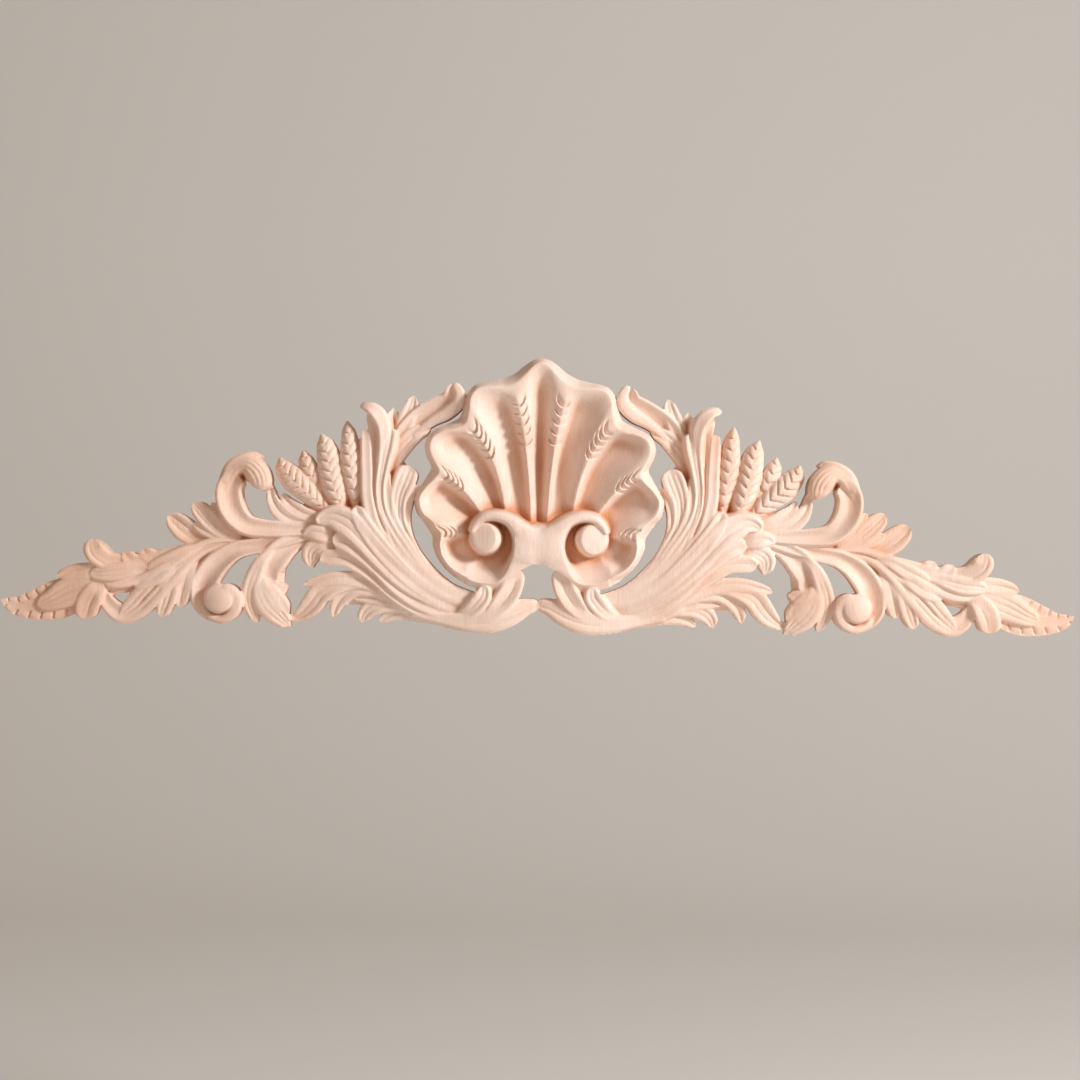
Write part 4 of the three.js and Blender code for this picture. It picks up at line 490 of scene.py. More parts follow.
ARM_LOBES = [
    *END_LEAF, *CURL_LEAF, *LONG_LEAF, *SIDE_LEAVES, *ROLLING_SCROLL, *SPROUT, *SEED_PODS, *VOLUTE,
    *DROP_LEAF, *FAN_LEAF, *PLUME, *SHELL_BRANCH, *LOW_LEAF, *FOOT_SCROLL, *WEBS,
]

# The round ends of the shell's volute and of the lower volute
BOSSES = [
    {"out": 52.5, "up": 1, "radius": 15.3, "height": 39.5, "tilt": -3.5, "dome": 0.3, "bevel": 4.5},
    {"out": 316.5, "up": -63, "radius": 14.5, "height": 27.5, "tilt": -1.5, "dome": 3.0, "bevel": 0.5},
]


def smooth_step(value, start, end):
    """0 before start, 1 after end, and 3t^2 - 2t^3 of the way t between them."""
    t = np.clip((value - start) / (end - start), 0, 1)
    return t * t * (3 - 2 * t)


def between(value, start, full, fade, end):
    """0 outside start and end, 1 from full to fade, and smooth steps on both sides."""
    return smooth_step(value, start, full) * (1 - smooth_step(value, fade, end))


def smooth_max(first, second, width):
    """The larger of two maps, plus a quarter of the width where they meet and nothing a width apart."""
    share = np.clip(0.5 + 0.5 * (second - first) / width, 0, 1)
    return first * (1 - share) + second * share + width * share * (1 - share)


def hermite(rows, slopes, places, at):
    """Cubic Hermite curve through the rows at their places, read at the places given."""
    first = np.clip(np.searchsorted(places, at, side="right") - 1, 0, len(places) - 2)
    step = (places[first + 1] - places[first])[:, None]
    t = (at - places[first])[:, None] / step
    return (
        (1 + 2 * t) * (1 - t) ** 2 * rows[first]
        + t * (1 - t) ** 2 * step * slopes[first]
        + t * t * (3 - 2 * t) * rows[first + 1]
        - t * t * (1 - t) * step * slopes[first + 1]
    )


def spine(stations):
    """Evenly spaced samples of a smooth line through the stations: places along it, rows and tangents.

    The slope at an inner station is the mean of the chords beside it, each weighted by the other's length.
    At an end it is the last chord's, carried on by a share of the change from the chord before.
    """
    rows = np.asarray(stations, float)
    chord = np.linalg.norm(np.diff(rows[:, :2], axis=0), axis=1)
    places = np.concatenate([[0], np.cumsum(chord)])
    grade = np.diff(rows, axis=0) / chord[:, None]
    slopes = np.repeat(grade[:1], len(rows), axis=0)
    if len(rows) > 2:
        weight = (chord[1:] + chord[:-1])[:, None]
        slopes[1:-1] = (grade[:-1] * chord[1:, None] + grade[1:] * chord[:-1, None]) / weight
        for end, inner in ((0, 1), (-1, -2)):
            slopes[end] = (1 + SPINE_END_CURVE) * grade[end] - SPINE_END_CURVE * grade[inner]
    count = int(places[-1] * SPINE_FINE) + SPINE_LEAST + 1
    fine = hermite(rows, slopes, places, np.linspace(0, places[-1], count))
    run = np.concatenate([[0], np.cumsum(np.linalg.norm(np.diff(fine[:, :2], axis=0), axis=1))])
    along = np.linspace(0, run[-1], max(SPINE_LEAST, int(run[-1] / SPINE_STEP) + 1))
    samples = np.stack([np.interp(along, run, fine[:, k]) for k in range(4)], 1)
    tangents = np.gradient(samples[:, :2], along, axis=0)
    return along, samples, tangents / np.linalg.norm(tangents, axis=1, keepdims=True)


def lobe_maps(piece, reach, rise):
    """Height and inside distance of one lobe over the map's places.

    Each place takes the nearest point of the spine. Across the lobe its height is the spine's, plus a rim
    that falls off at the edge, minus a scooped middle, plus a tilt and a dome. Toward the tip the half
    width shrinks by a power of the way that is left, or as an ellipse. Past the edge the height falls as
    a wall.
    """
    along, samples, tangents = spine(piece["stations"])
    length = along[-1]
    nearest = np.zeros(reach.shape, int)
    least = np.full(reach.shape, np.inf)
    for index, (x, z) in enumerate(samples[:, :2]):
        distance = (reach - x) ** 2 + (rise - z) ** 2
        closer = distance < least
        least[closer] = distance[closer]
        nearest[closer] = index
    dx = reach - samples[nearest, 0]
    dz = rise - samples[nearest, 1]
    run = along[nearest] + dx * tangents[nearest, 0] + dz * tangents[nearest, 1]
    side = dz * tangents[nearest, 0] - dx * tangents[nearest, 1]
    past = np.maximum(np.maximum(-run, run - length), 0)
    run = np.clip(run, 0, length)
    width = np.interp(run, along, samples[:, 2])
    height = np.interp(run, along, samples[:, 3])
    left = np.clip((length - run) / (piece["tip"] * piece["stations"][-1][2]), 0, 1)
    if piece["point"]:
        taper = left ** piece["point"]
    else:
        taper = np.sqrt(np.clip(1 - (1 - left) ** 2, 0, 1))
    half = np.maximum(width * taper, NARROWEST)
    away = np.where(past > 0, np.hypot(past, side), np.abs(side))
    across = np.sign(side) * np.clip(away / half, 0, 1)
    edge = np.abs(across)
    scoop_along = SCOOP_AT_BASE + (1 - SCOOP_AT_BASE) * smooth_step(run / length, 0, SCOOP_FULL_AT)
    scoop_across = (1 - np.minimum(edge / SCOOP_REACH, 1) ** 2) ** 1.3
    height = height + taper * (
        piece["rim"] * (1 - edge**4)
        - piece["edge"] * edge**4
        - piece["scoop"] * scoop_along * scoop_across
        + piece["tilt"] * across
        + piece["crown"] * (1 - edge**2)
    )
    height -= cut_depth(piece, run, length, side, half, edge, width)
    return height - piece["wall"] * np.maximum(away - half, 0), half - away


def cut_depth(piece, run, length, side, half, edge, width):
    """Depth of the cuts in a lobe: a vein, creases along it, and rows of chevrons or chip cuts across it.

    The vein and the creases are bell curves across the lobe, and fade out at the tip. A chevron deepens
    along its pitch as a fourth power and stops short. A chip cut starts at its full depth and dies away.
    Both lie further toward the tip, the further they are from the spine.
    """
    vein_fade = np.clip((length - run) / VEIN_FADE, 0, 1)
    depth = piece["vein"] * np.exp(-((side / CREASE_WIDTH) ** 2)) * vein_fade
    tip_fade = np.clip((length - run) / (CREASE_FADE * piece["stations"][-1][2]), 0, 1)
    fade = smooth_step(run, *np.multiply(CREASE_GROWTH, length)) * tip_fade
    for share in piece["cuts"]:
        depth = depth + CREASE_DEPTH * np.exp(-(((side - share * width) / CREASE_WIDTH) ** 2)) * fade
    off = np.minimum(np.abs(side), half)
    if piece["chevrons"]:
        phase = (run - CHEVRON_SLANT * off) / (CHEVRON_SPREAD * length / piece["chevrons"])
        part = phase - np.floor(phase)
        shown = np.clip((CHEVRON_END * length - run) / CHEVRON_FADE, 0, 1)
        depth = depth + CHEVRON_DEPTH * part**4 * shown * np.clip(CHEVRON_SIDE - edge, 0, 1)
    if piece["chips"]:
        phase = (run - CHIP_SLANT * off) / CHIP_PITCH
        past_cut = (phase - np.floor(phase)) * CHIP_PITCH
        band = between(edge, *CHIP_BAND)
        ends = between(run, *np.multiply(CHIP_ENDS, length))
        depth = depth + CHIP_DEPTH * np.exp(-past_cut / CHIP_RUN) * band * ends
    return depth


def add_lobe(maps, piece):
    """Adds one lobe to the maps, over the places that it can reach."""
    stations = np.asarray(piece["stations"], float)
    room = stations[:, 2].max() + LOBE_ROOM
    lines, columns = (
        slice(*np.searchsorted(maps[axis], [places.min() - room, places.max() + room]))
        for axis, places in (("rise", stations[:, 1]), ("reach", stations[:, 0]))
    )
    reach, rise = np.meshgrid(maps["reach"][columns], maps["rise"][lines])
    height, inside = lobe_maps(piece, reach, rise)
    window = (lines, columns)
    maps["height"][window] = smooth_max(maps["height"][window], height, piece["blend"])
    maps["inside"][window] = np.maximum(maps["inside"][window], inside)


def along_table(rows, at):
    """Smooth values of a table between the numbers in its first column, with its differences as slopes."""
    table = np.asarray(rows, float)
    slopes = np.gradient(table[:, 1:], table[:, 0], axis=0)
    return hermite(table[:, 1:], slopes, table[:, 0], at)


def with_mirror(rows):
    """The table with its first rows mirrored in front, so that it runs smoothly over the centre line."""
    return [[-flute, -out, up, *rest] for flute, out, up, *rest in rows[2:0:-1]] + rows


def nick_depth(flute, run, reach, rise, length):
    """Depth of the gouge nicks, in a row on each rib that has them.

    A nick is deepest at its start and dies away along its pitch as a power. Off the rib it lies further
    along, by the square of the distance, and it fades out at its sides.
    """
    depth = 0
    for rib, start, count, pitch in SHELL_NICKS:
        line = np.argmin(np.abs(flute - rib))
        side = np.hypot(reach - reach[line], rise - rise[line])
        phase = ((run - start) * length[line] - NICK_BOW * side**2) / pitch
        part = phase - np.floor(phase)
        near = (np.abs(flute[:, None] - rib) < NICK_FLUTES) & (side < NICK_REACH)
        cut = NICK_DEPTH * (1 - part) ** 1.8 * np.clip((NICK_REACH - side) / NICK_FADE, 0, 1)
        depth = depth + np.where(near & (phase > 0) & (phase < count), cut, 0)
    return depth


def shell_places():
    """Places, heights and inside distances of the shell: a surface in flute number and run from the hinge.

    A flute's line is a quadratic curve from the hinge past its bend to the crest. Across the flutes the
    depth mixes a raised cosine with a straight slope, from its deepest line, which leans toward the centre
    line, to nothing on the ribs. Outside the crest a rounded wall falls away over the rim's width.
    """
    flute = np.linspace(0, SHELL_LAST_FLUTE, FLUTE_LINES)
    crest, hinge, bend = (
        along_table(with_mirror(table), flute) for table in (SHELL_CREST, SHELL_HINGE, SHELL_BEND)
    )
    offset = flute - np.round(flute)
    lean = np.where(flute > 0.5, FLUTE_LEAN, 0.0)
    half_flute = np.where(offset < -lean, 0.5 - lean, 0.5 + lean)
    aside = np.abs(offset + lean) / half_flute
    hollow = FLUTE_ROUND * (0.5 + 0.5 * np.cos(np.pi * aside)) + (1 - FLUTE_ROUND) * (1 - aside)
    run, depth = np.meshgrid(np.linspace(0, 1, FLUTE_STEPS), hollow)
    growth = FLUTE_AT_HINGE + (1 - FLUTE_AT_HINGE) * smooth_step(run, 0.0, FLUTE_FULL_AT)
    fade = growth * (1 - smooth_step(run, FLUTE_FADE_AT, 1.0) ** 1.3)
    weights = ((1 - run) ** 2, 2 * run * (1 - run), run**2)
    lines = (hinge, bend, crest)
    reach, rise = (sum(weight * line[:, [k]] for weight, line in zip(weights, lines)) for k in (0, 1))
    height = hinge[:, 2:] + (crest[:, 2:] - hinge[:, 2:]) * (1 - (1 - run) ** 1.2)
    height = height - FLUTE_DEPTH * depth * fade + RIB_RISE * (1 - depth) ** 2 * fade
    length = np.linalg.norm(crest[:, :2] - hinge[:, :2], axis=1)
    height = height - nick_depth(flute, run, reach, rise, length)
    outward = crest[:, :2] - np.array(SHELL_MIDDLE)
    outward /= np.linalg.norm(outward, axis=1, keepdims=True)
    rib = 0.5 - 0.5 * np.cos(2 * np.pi * flute)
    shoulder = np.exp(-(((flute - SHOULDER[0]) / SHOULDER[1]) ** 2))
    rim = (RIM_WIDTH + RIM_AT_RIBS * rib**1.5 + RIM_AT_SHOULDER * shoulder)[:, None]
    past = np.linspace(0, 1, RIM_STEPS)[None, :] * (rim + RIM_ROOM)
    wall_reach, wall_rise = (crest[:, [k]] + outward[:, [k]] * past for k in (0, 1))
    wall_height = crest[:, 2:] - SHELL_WALL_FALL * (past / rim) ** 1.5
    face = (reach, rise, height, np.full(reach.shape, SHELL_INSIDE))
    wall = (wall_reach, wall_rise, wall_height, rim - past)
    return tuple(np.concatenate([inner.ravel(), outer.ravel()]) for inner, outer in zip(face, wall))


def add_shell(maps):
    """Adds the shell: every place on its surface goes to its cell of the maps, which keeps the mean."""
    reach, rise, height, inside = shell_places()
    column = np.round((reach - maps["reach"][0]) / CELL).astype(int)
    line = np.round((rise - maps["rise"][0]) / CELL).astype(int)
    columns = len(maps["reach"])
    held = (column >= 0) & (column < columns) & (line >= 0) & (line < len(maps["rise"]))
    cell = line[held] * columns + column[held]
    shape = maps["height"].shape
    count = np.bincount(cell, minlength=maps["height"].size)
    found = (count > 0).reshape(shape)
    sums = [np.bincount(cell, weights=values[held], minlength=count.size) for values in (height, inside)]
    means = [np.where(found, (total / np.maximum(count, 1)).reshape(shape), NOWHERE) for total in sums]
    middle = int(round(-maps["reach"][0] / CELL))
    for mean in means:
        mean[:, :middle] = mean[:, 2 * middle:middle:-1]
    maps["height"] = smooth_max(maps["height"], means[0], SHELL_BLEND)
    maps["inside"] = np.maximum(maps["inside"], means[1])


def carve_moat(maps, out, up):
    """Lowers the map round a boss, down to a limit.

    The limit is a bowl, a floor plus a power of the distance from the boss. On the side that faces the
    centre line it is a steep wall instead, which begins at a radius that grows with the angle from the top.
    """
    reach, rise = np.meshgrid(maps["reach"], maps["rise"])
    across = reach - out
    away = np.hypot(across, rise - up)
    turn = np.arctan2(-across, rise - up) / np.pi
    edge = MOAT_NEAR + (MOAT_FAR - MOAT_NEAR) * smooth_step(turn, 0, 1)
    past = np.maximum(away - edge, 0)
    inner = np.clip(-across / np.maximum(away, TINY), 0, 1)
    outer = np.clip(across / np.maximum(away, TINY), 0, 1)
    slope, slope_inside, growth = MOAT_WALL
    wall = (slope + slope_inside * inner**2) * past + growth * past**2
    bowl = BOWL_OUTER * outer**2 + BOWL_RISE * (np.maximum(away - MOAT_NEAR, 0) / BOWL_REACH) ** 1.5
    over_top, start, end = MOAT_TURN
    share = np.where(turn < 0, smooth_step(-turn, 0, over_top), smooth_step(turn, start, end))
    limit = MOAT_FLOOR + wall + (bowl - wall) * share
    maps["height"] = -smooth_max(-maps["height"], -limit, MOAT_BLEND)


def add_boss(maps, out, up, radius, height, tilt, dome, bevel):
    """Adds the round end of a volute: a disc with a tilted, slightly domed face.

    A bevel runs round its edge, and is wider by up to the bevel given on the side that faces the centre
    line. Past the edge the disc falls as a wall.
    """
    reach, rise = np.meshgrid(maps["reach"], maps["rise"])
    across = reach - out
    away = np.hypot(across, rise - up)
    width = BOSS_BEVEL + bevel * np.clip(-across / np.maximum(away, TINY), 0, 1)
    fall = BOSS_BEVEL_FALL + BOSS_BEVEL_FALL * width
    face = height + tilt * across / radius + dome * (1 - np.clip(away / radius, 0, 1) ** 2)
    face = face - fall * np.clip((away - radius + width) / width, 0, 1) ** 1.5
    face = face - BOSS_WALL_SLOPE * np.maximum(away - radius, 0)
    maps["height"] = smooth_max(maps["height"], face, BOSS_BLEND)
    maps["inside"] = np.maximum(maps["inside"], radius - away)


def blurred(values, reach):
    """The map blurred by three running means over reach cells each way, along both axes."""
    size = 2 * reach + 1
    for _ in range(3):
        for axis in (0, 1):
            pad = [(0, 0), (0, 0)]
            pad[axis] = (reach + 1, reach)
            total = np.cumsum(np.pad(values, pad, mode="edge"), axis=axis)
            start = np.take(total, range(0, values.shape[axis]), axis=axis)
            values = (np.take(total, range(size, size + values.shape[axis]), axis=axis) - start) / size
    return values


def half_maps():
    """The two maps of one half, with every lobe, the shell and both volute ends."""
    reach = np.arange(*MAP_REACH, CELL)
    rise = np.arange(*MAP_RISE, CELL)
    empty = np.full((len(rise), len(reach)), NOWHERE)
    maps = {"reach": reach, "rise": rise, "height": empty, "inside": empty.copy()}
    for piece in ARM_LOBES + SHELL_LOBES:
        add_lobe(maps, piece)
    add_shell(maps)
    carve_moat(maps, BOSSES[0]["out"], BOSSES[0]["up"])
    add_lobe(maps, VOLUTE_OVER)
    for boss in BOSSES:
        add_boss(maps, **boss)
    return maps


def whole_maps():
    """Both halves side by side, smoothed over the centre line where they meet."""
    maps = half_maps()
    middle = int(round(-maps["reach"][0] / CELL))
    strip = slice(0, 2 * middle + 1)
    height = maps["height"][:, strip]
    near = np.clip(1 - np.abs(maps["reach"][strip]) / -maps["reach"][0], 0, 1)
    blend = CENTRE_BLEND[0] + CENTRE_BLEND[1] * near**2
    maps["height"][:, strip] = smooth_max(height, height[:, ::-1], blend) - blend / 4
    maps["inside"][:, strip] = np.maximum(maps["inside"][:, strip], maps["inside"][:, strip][:, ::-1])
    both = {}
    for name in ("height", "inside"):
        half = maps[name][:, middle:]
        both[name] = np.concatenate([half[:, :0:-1], half], axis=1)
    reach = maps["reach"][middle:]
    both["across"] = np.concatenate([-reach[:0:-1], reach])
    fill_corners(both["inside"])
    both["rise"] = maps["rise"]
    return both


def fill_corners(inside):
    """Fills one of the two open places wherever two filled places touch only at a corner.

    It goes on until there are none, so that the outline never meets itself.
    """
    while True:
        filled = inside > 0
        a, b, c, d = filled[:-1, :-1], filled[:-1, 1:], filled[1:, :-1], filled[1:, 1:]
        rising = np.argwhere(a & d & ~b & ~c)
        falling = np.argwhere(b & c & ~a & ~d)
        if len(rising) + len(falling) == 0:
            return
        for at, shift in ((rising, (0, 1)), (falling, (0, 0))):
            inside[at[:, 0] + shift[0], at[:, 1] + shift[1]] = FILLED


def crossings(inside, axis):
    """Along one axis, whether the outline passes between two neighbours, and how far along."""
    first = np.take(inside, range(0, inside.shape[axis] - 1), axis=axis)
    second = np.take(inside, range(1, inside.shape[axis]), axis=axis)
    gap = first - second
    apart = np.abs(gap) > TINY
    share = np.where(apart, first / np.where(apart, gap, 1), 0.5)
    return (first > 0) != (second > 0), np.clip(share, 0, 1)


def cell_points(maps):
    """One point for each cell between four places of the maps: its middle, or on the outline that cuts it.

    On the outline the point is the mean of the crossings on the cell's sides. Its height is the mean of
    those of its places that lie inside.
    """
    inside = maps["inside"]
    across_cut, across_share = crossings(inside, 1)
    rise_cut, rise_share = crossings(inside, 0)
    count = np.zeros((inside.shape[0] - 1, inside.shape[1] - 1))
    x = np.zeros_like(count)
    z = np.zeros_like(count)
    for cut, cut_x, cut_z in (
        (across_cut[:-1], across_share[:-1], 0.0),
        (across_cut[1:], across_share[1:], 1.0),
        (rise_cut[:, :-1], 0.0, rise_share[:, :-1]),
        (rise_cut[:, 1:], 1.0, rise_share[:, 1:]),
    ):
        count += cut
        x += np.where(cut, cut_x, 0)
        z += np.where(cut, cut_z, 0)
    x, z = (np.where(count > 0, total / np.maximum(count, 1), 0.5) for total in (x, z))
    weight = np.zeros_like(count)
    height = np.zeros_like(count)
    for part in (np.s_[:-1, :-1], np.s_[:-1, 1:], np.s_[1:, :-1], np.s_[1:, 1:]):
        weight += inside[part] > 0
        height += np.where(inside[part] > 0, maps["height"][part], 0)
    height = height / np.maximum(weight, 1)
    across = maps["across"][:-1] + x * CELL
    rise = maps["rise"][:-1, None] + z * CELL
    return across, rise, height, weight > 0


def relief_mesh(maps):
    """Closed mesh of the relief: the carved front, walls down from its outline, and the flat back.

    Each place inside the outline makes a square of the four cell points round it, on the front and on the
    back. Where its neighbour lies outside, the shared side goes down to the back as a wall.
    """
    across, rise, height, used = cell_points(maps)
    number = np.full(used.shape, -1)
    number[used] = np.arange(used.sum())
    top = np.stack([across[used], -np.maximum(height[used], THINNEST), rise[used]], 1)
    back = top * np.array([1.0, 0.0, 1.0])
    held = maps["inside"] > 0
    held[0, :] = held[-1, :] = False
    held[:, 0] = held[:, -1] = False
    line, column = np.nonzero(held)
    corner = [number[line + up, column + over] for up, over in ((-1, -1), (-1, 0), (0, 0), (0, -1))]
    below = len(top)
    faces = [np.stack(corner, 1), np.stack(corner[::-1], 1) + below]
    for shift, first, second in (((-1, 0), 0, 1), ((0, 1), 1, 2), ((1, 0), 2, 3), ((0, -1), 3, 0)):
        open_side = ~held[line + shift[0], column + shift[1]]
        start = corner[first][open_side]
        end = corner[second][open_side]
        faces.append(np.stack([end, start, start + below, end + below], 1))
    points = np.concatenate([top, back])
    quads = np.concatenate(faces)
    mesh = bpy.data.meshes.new("carved_wood")
    mesh.vertices.add(len(points))
    mesh.vertices.foreach_set("co", points.astype(np.float32).ravel())
    mesh.loops.add(quads.size)
    mesh.loops.foreach_set("vertex_index", quads.astype(np.int32).ravel())
    mesh.polygons.add(len(quads))
    mesh.polygons.foreach_set("loop_start", np.arange(0, quads.size, 4, dtype=np.int32))
    mesh.update(calc_edges=True)
    mesh.validate()
    return mesh


def new_object(name, data):
    """An object of that name with the data given, linked to the scene."""
    made = bpy.data.objects.new(name, data)
    bpy.context.scene.collection.objects.link(made)
    return made


def material_nodes(name):
    """A new material with its node tree emptied to a Principled BSDF and an output."""
    material = bpy.data.materials.new(name)
    material.use_nodes = True
    tree = material.node_tree
    tree.nodes.clear()
    shader = tree.nodes.new("ShaderNodeBsdfPrincipled")
    output = tree.nodes.new("ShaderNodeOutputMaterial")
    tree.links.new(shader.outputs["BSDF"], output.inputs["Surface"])
    return material, tree, shader


def add_node(tree, kind, **settings):
    """A node of that kind; a setting names one of its own properties, or an input by number or name."""
    node = tree.nodes.new(kind)
    for key, value in settings.items():
        if key == "inputs":
            for socket, amount in value.items():
                node.inputs[socket].default_value = amount
        else:
            setattr(node, key, value)
    return node


def join(tree, *links):
    """Links nodes, each link given as a node and its output, and the next node and its input."""
    for source, output, target, entry in links:
        tree.links.new(source.outputs[output], target.inputs[entry])


def grain_group():
    """Node group for wood grain: stretched noise for the fibres, wide noise for the tone of the boards.

    It takes a place and the scale of the fibres, and puts out a grain value and a tone value.
    """
    group = bpy.data.node_groups.new("wood_grain", "ShaderNodeTree")
    group.interface.new_socket("Place", in_out="INPUT", socket_type="NodeSocketVector")
    fibre = group.interface.new_socket("Fibre Scale", in_out="INPUT", socket_type="NodeSocketFloat")
    fibre.default_value = FIBRE_SCALE
    for name in ("Grain", "Tone"):
        group.interface.new_socket(name, in_out="OUTPUT", socket_type="NodeSocketFloat")
    entry = group.nodes.new("NodeGroupInput")
    leave = group.nodes.new("NodeGroupOutput")
    stretch = add_node(group, "ShaderNodeVectorMath", operation="MULTIPLY", inputs={1: FIBRE_STRETCH})
    fine = add_node(group, "ShaderNodeTexNoise", inputs={"Detail": 3.0, "Roughness": 0.6})
    wide = add_node(group, "ShaderNodeTexNoise", inputs={"Detail": 3.0, "Roughness": 0.55})
    wide.inputs["Scale"].default_value = TONE_SCALE
    join(
        group,
        (entry, "Place", stretch, 0),
        (stretch, "Vector", fine, "Vector"),
        (entry, "Fibre Scale", fine, "Scale"),
        (entry, "Place", wide, "Vector"),
        (fine, "Fac", leave, "Grain"),
        (wide, "Fac", leave, "Tone"),
    )
    return group


def colour_ramp(tree, *stops):
    """A ramp between two colours, each given with its place."""
    ramp = tree.nodes.new("ShaderNodeValToRGB")
    for element, (place, colour) in zip(ramp.color_ramp.elements, stops):
        element.position = place
        element.color = (*colour, 1)
    return ramp


def raw_wood(grain):
    """Pale, sanded, unfinished wood: fine grain, a slow change of tone, painted light at the centre,
    painted shade in the hollows.
    """
    material, tree, shader = material_nodes("raw_carved_wood")
    shader.inputs["Roughness"].default_value = 0.62
    shader.inputs["Specular IOR Level"].default_value = 0.35
    place = tree.nodes.new("ShaderNodeTexCoord")
    fibres = add_node(tree, "ShaderNodeGroup", node_tree=grain, inputs={"Fibre Scale": FIBRE_SCALE})
    parts = tree.nodes.new("ShaderNodeSeparateXYZ")
    # Painted light and shade: the distance from the centre line makes the wood paler at the centre and
    # darker at the ends
    from_centre = add_node(tree, "ShaderNodeMath", operation="ABSOLUTE")
    outward = add_node(tree, "ShaderNodeMapRange", inputs=PAINTED_CENTRE_LIGHT)
    tone_and_painted_light = add_node(tree, "ShaderNodeMath", operation="ADD")
    tone = colour_ramp(tree, (0.3, WOOD_WARM), (0.7, WOOD_PALE))
    streak_tone = colour_ramp(tree, (0.35, STREAK), (0.6, NO_STREAK))
    mixing = {"data_type": "RGBA", "blend_type": "MULTIPLY"}
    streaks = add_node(tree, "ShaderNodeMix", **mixing, inputs={MIX_SHARE: STREAK_SHARE})
    # Painted shade: the hollow attribute darkens the colour toward a warm brown in the recesses, where
    # shade falls
    hollow = add_node(tree, "ShaderNodeAttribute", attribute_name="hollow")
    shade = add_node(tree, "ShaderNodeMix", **mixing, inputs={MIX_SECOND: (*PAINTED_HOLLOW_SHADE, 1)})
    bump = add_node(tree, "ShaderNodeBump", inputs={"Strength": 0.25, "Distance": 0.0004})
    join(
        tree,
        (place, "Object", fibres, "Place"),
        (place, "Object", parts, "Vector"),
        (parts, "X", from_centre, 0),
        (from_centre, "Value", outward, "Value"),
        (outward, "Result", tone_and_painted_light, 0),
        (fibres, "Tone", tone_and_painted_light, 1),
        (tone_and_painted_light, "Value", tone, "Fac"),
        (tone, "Color", streaks, MIX_FIRST),
        (fibres, "Grain", streak_tone, "Fac"),
        (streak_tone, "Color", streaks, MIX_SECOND),
        (hollow, "Fac", shade, MIX_SHARE),
        (streaks, MIX_RESULT, shade, MIX_FIRST),
        (shade, MIX_RESULT, shader, "Base Color"),
        (fibres, "Grain", bump, "Height"),
        (bump, "Normal", shader, "Normal"),
    )
    return material


def plain_material(name, colour, roughness):
    """One colour all over, for the floor and its backdrop."""
    material, _, shader = material_nodes(name)
    shader.inputs["Base Color"].default_value = (*colour, 1)
    shader.inputs["Roughness"].default_value = roughness
    return material


def read_map(maps, values, across, rise):
    """Values of a map at the places given, mixed from the four places of the map round each."""
    column = np.clip((across - maps["across"][0]) / CELL, 0, values.shape[1] - LAST_PLACE)
    line = np.clip((rise - maps["rise"][0]) / CELL, 0, values.shape[0] - LAST_PLACE)
    left = column.astype(int)
    low = line.astype(int)
    x = column - left
    z = line - low
    return (
        (values[low, left] * (1 - x) + values[low, left + 1] * x) * (1 - z)
        + (values[low + 1, left] * (1 - x) + values[low + 1, left + 1] * x) * z
    )


def hollows(maps, points):
    """How deep the wood at each point lies below the mean height round it, as a share from 0 to 1, which
    sets how much painted shade darkens the wood's colour there.

    The open places round the carving count as height 0, so its outer edges aren't hollows. The flat back
    has none.
    """
    inside = maps["inside"] > 0
    height = np.where(inside, maps["height"], 0)
    own = blurred(height, 1) / np.maximum(blurred(inside.astype(float), 1), HOLLOW_LEAST)
    drop = blurred(height, HOLLOW_REACH) - own
    share = np.clip(read_map(maps, drop, points[:, 0], points[:, 2]) / HOLLOW_DEPTH, 0, 1)
    return np.where(points[:, 1] < -THINNEST / 2, share, 0)


def thinned(mesh):
    """A copy of the mesh with about as many triangles as a piece may have."""
    drawn = new_object("drawn_wood", mesh)
    thin = drawn.modifiers.new("fewer_triangles", "DECIMATE")
    thin.ratio = TRIANGLES / sum(len(face.vertices) - 2 for face in mesh.polygons)
    graph = bpy.context.evaluated_depsgraph_get()
    carved = bpy.data.meshes.new_from_object(drawn.evaluated_get(graph))
    bpy.data.objects.remove(drawn)
    return carved


def carved_wood():
    """The finished wood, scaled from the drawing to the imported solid's own width and depth."""
    low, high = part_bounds(PART)
    maps = whole_maps()
    carved = thinned(relief_mesh(maps))
    carved.name = "carved_wood"
    points = np.zeros(len(carved.vertices) * 3, np.float32)
    carved.vertices.foreach_get("co", points)
    points = points.reshape(-1, 3)
    # Painted shade: the share of painted shade at each point, stored as the hollow attribute
    depth = carved.attributes.new("hollow", "FLOAT", "POINT")
    depth.data.foreach_set("value", hollows(maps, points).astype(np.float32))
    scale = (high.x - low.x) / (points[:, 0].max() - points[:, 0].min())
    scale_depth = (high.y - low.y) / (points[:, 1].max() - points[:, 1].min())
    points = points * np.array([scale, scale_depth, scale])
    carved.vertices.foreach_set("co", points.astype(np.float32).ravel())
    carved.polygons.foreach_set("use_smooth", np.ones(len(carved.polygons), bool))
    carved.set_sharp_from_angle(angle=SHARP_ANGLE)
    carved.update()
    wood = new_object("carved_wood", carved)
    wood.data.materials.append(raw_wood(grain_group()))
    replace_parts(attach(wood, "root"), PART)


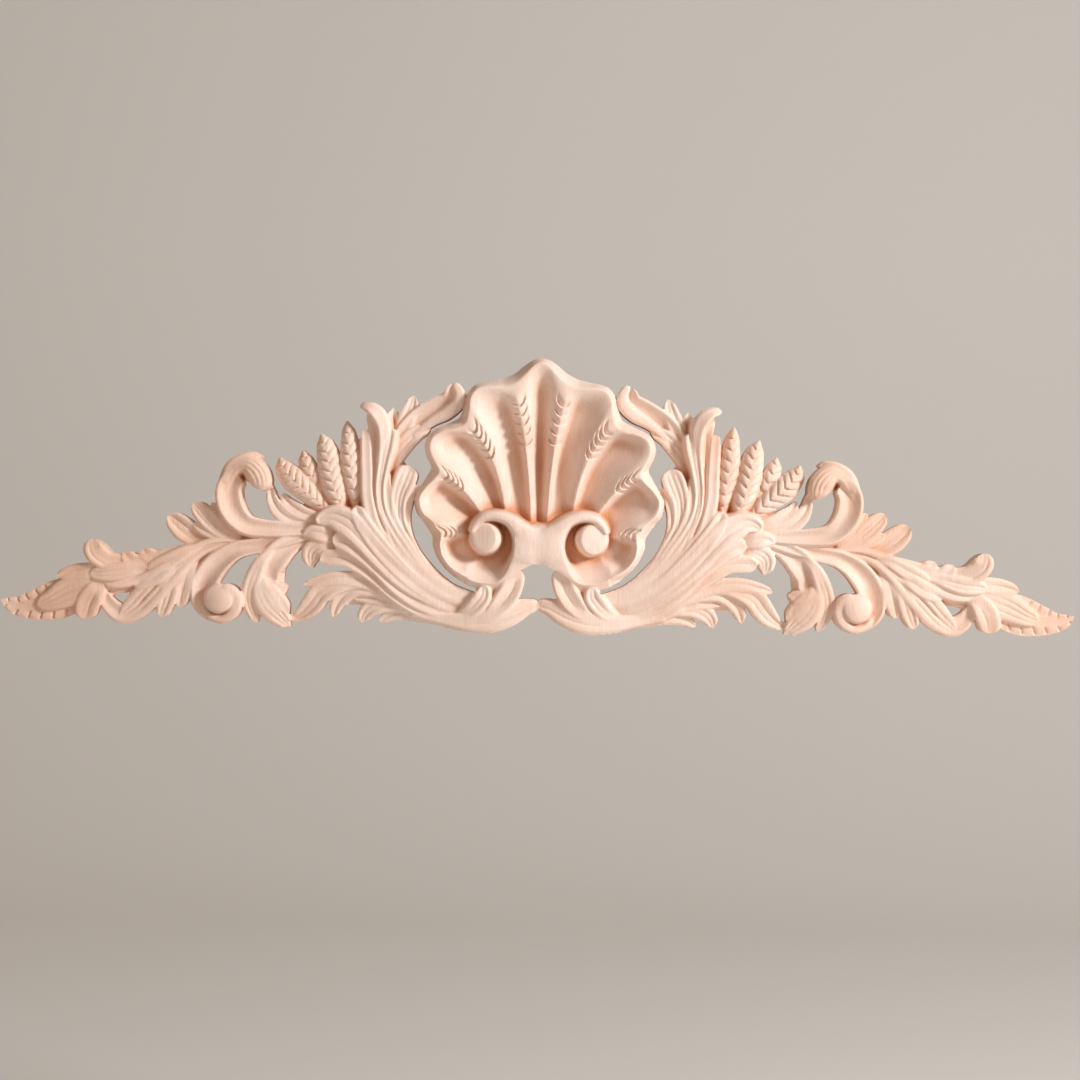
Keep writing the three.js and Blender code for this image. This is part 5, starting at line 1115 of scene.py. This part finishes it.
def studio():
    """Pale floor that sweeps up into a backdrop, a soft light from the right, a weak one and lit air."""
    turn = np.linspace(0.1, 1, SWEEP_STEPS) * np.pi / 2
    back = SWEEP_START + SWEEP_RADIUS
    depth = [FLOOR_FRONT, SWEEP_START, *(SWEEP_START + SWEEP_RADIUS * np.sin(turn)), back]
    height = [0.0, 0.0, *(SWEEP_RADIUS - SWEEP_RADIUS * np.cos(turn)), BACKDROP_TOP]
    side = (-FLOOR_SIDE, FLOOR_SIDE)
    points = [(x, y, z + FLOOR_HEIGHT) for x in side for y, z in zip(depth, height)]
    count = len(depth)
    faces = [(k, k + 1, count + k + 1, count + k) for k in range(count - 1)]
    mesh = bpy.data.meshes.new("floor")
    mesh.from_pydata(points, [], [face[::-1] for face in faces])
    mesh.polygons.foreach_set("use_smooth", [True] * len(faces))
    floor = new_object("floor", mesh)
    mesh.materials.append(plain_material("pale_floor", FLOOR_COLOUR, FLOOR_ROUGHNESS))
    for name, (place, size, power, colour) in LIGHTS.items():
        light = bpy.data.lights.new(name, "AREA")
        light.size = size
        light.energy = power
        light.color = colour
        lamp = new_object(name, light)
        lamp.location = place
        lamp.rotation_mode = "QUATERNION"
        lamp.rotation_quaternion = (-Vector(place)).to_track_quat("-Z", "Y")
    world = bpy.data.worlds.new("studio_air")
    world.use_nodes = True
    world.node_tree.nodes["Background"].inputs["Color"].default_value = (*AIR_COLOUR, 1)
    world.node_tree.nodes["Background"].inputs["Strength"].default_value = AIR_STRENGTH
    bpy.context.scene.world = world
    bpy.context.scene.view_settings.view_transform = "Standard"


def camera(width):
    """Straight at the carving from the front, turned by the photograph's slight tilt."""
    data = bpy.data.cameras.new("camera")
    data.lens = LENS
    data.sensor_width = SENSOR
    distance = width / PHOTO_SHARE * LENS / SENSOR
    viewer = new_object("camera", data)
    viewer.matrix_world = (
        Matrix.Translation((CAMERA_SIDE, -distance - NEAR_FACE, CAMERA_RISE))
        @ Matrix.Rotation(math.pi / 2, 4, "X")
        @ Matrix.Rotation(PHOTO_TILT, 4, "Z")
    )
    bpy.context.scene.camera = viewer


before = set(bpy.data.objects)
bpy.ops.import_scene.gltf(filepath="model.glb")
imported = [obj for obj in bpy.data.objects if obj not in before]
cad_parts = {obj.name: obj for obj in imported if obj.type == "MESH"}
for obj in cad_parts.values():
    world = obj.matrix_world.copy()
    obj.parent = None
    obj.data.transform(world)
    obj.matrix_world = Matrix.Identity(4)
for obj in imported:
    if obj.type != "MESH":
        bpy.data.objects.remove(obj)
part_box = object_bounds()
carved_wood()
part_width = part_box[1].x - part_box[0].x
studio()
camera(part_width)
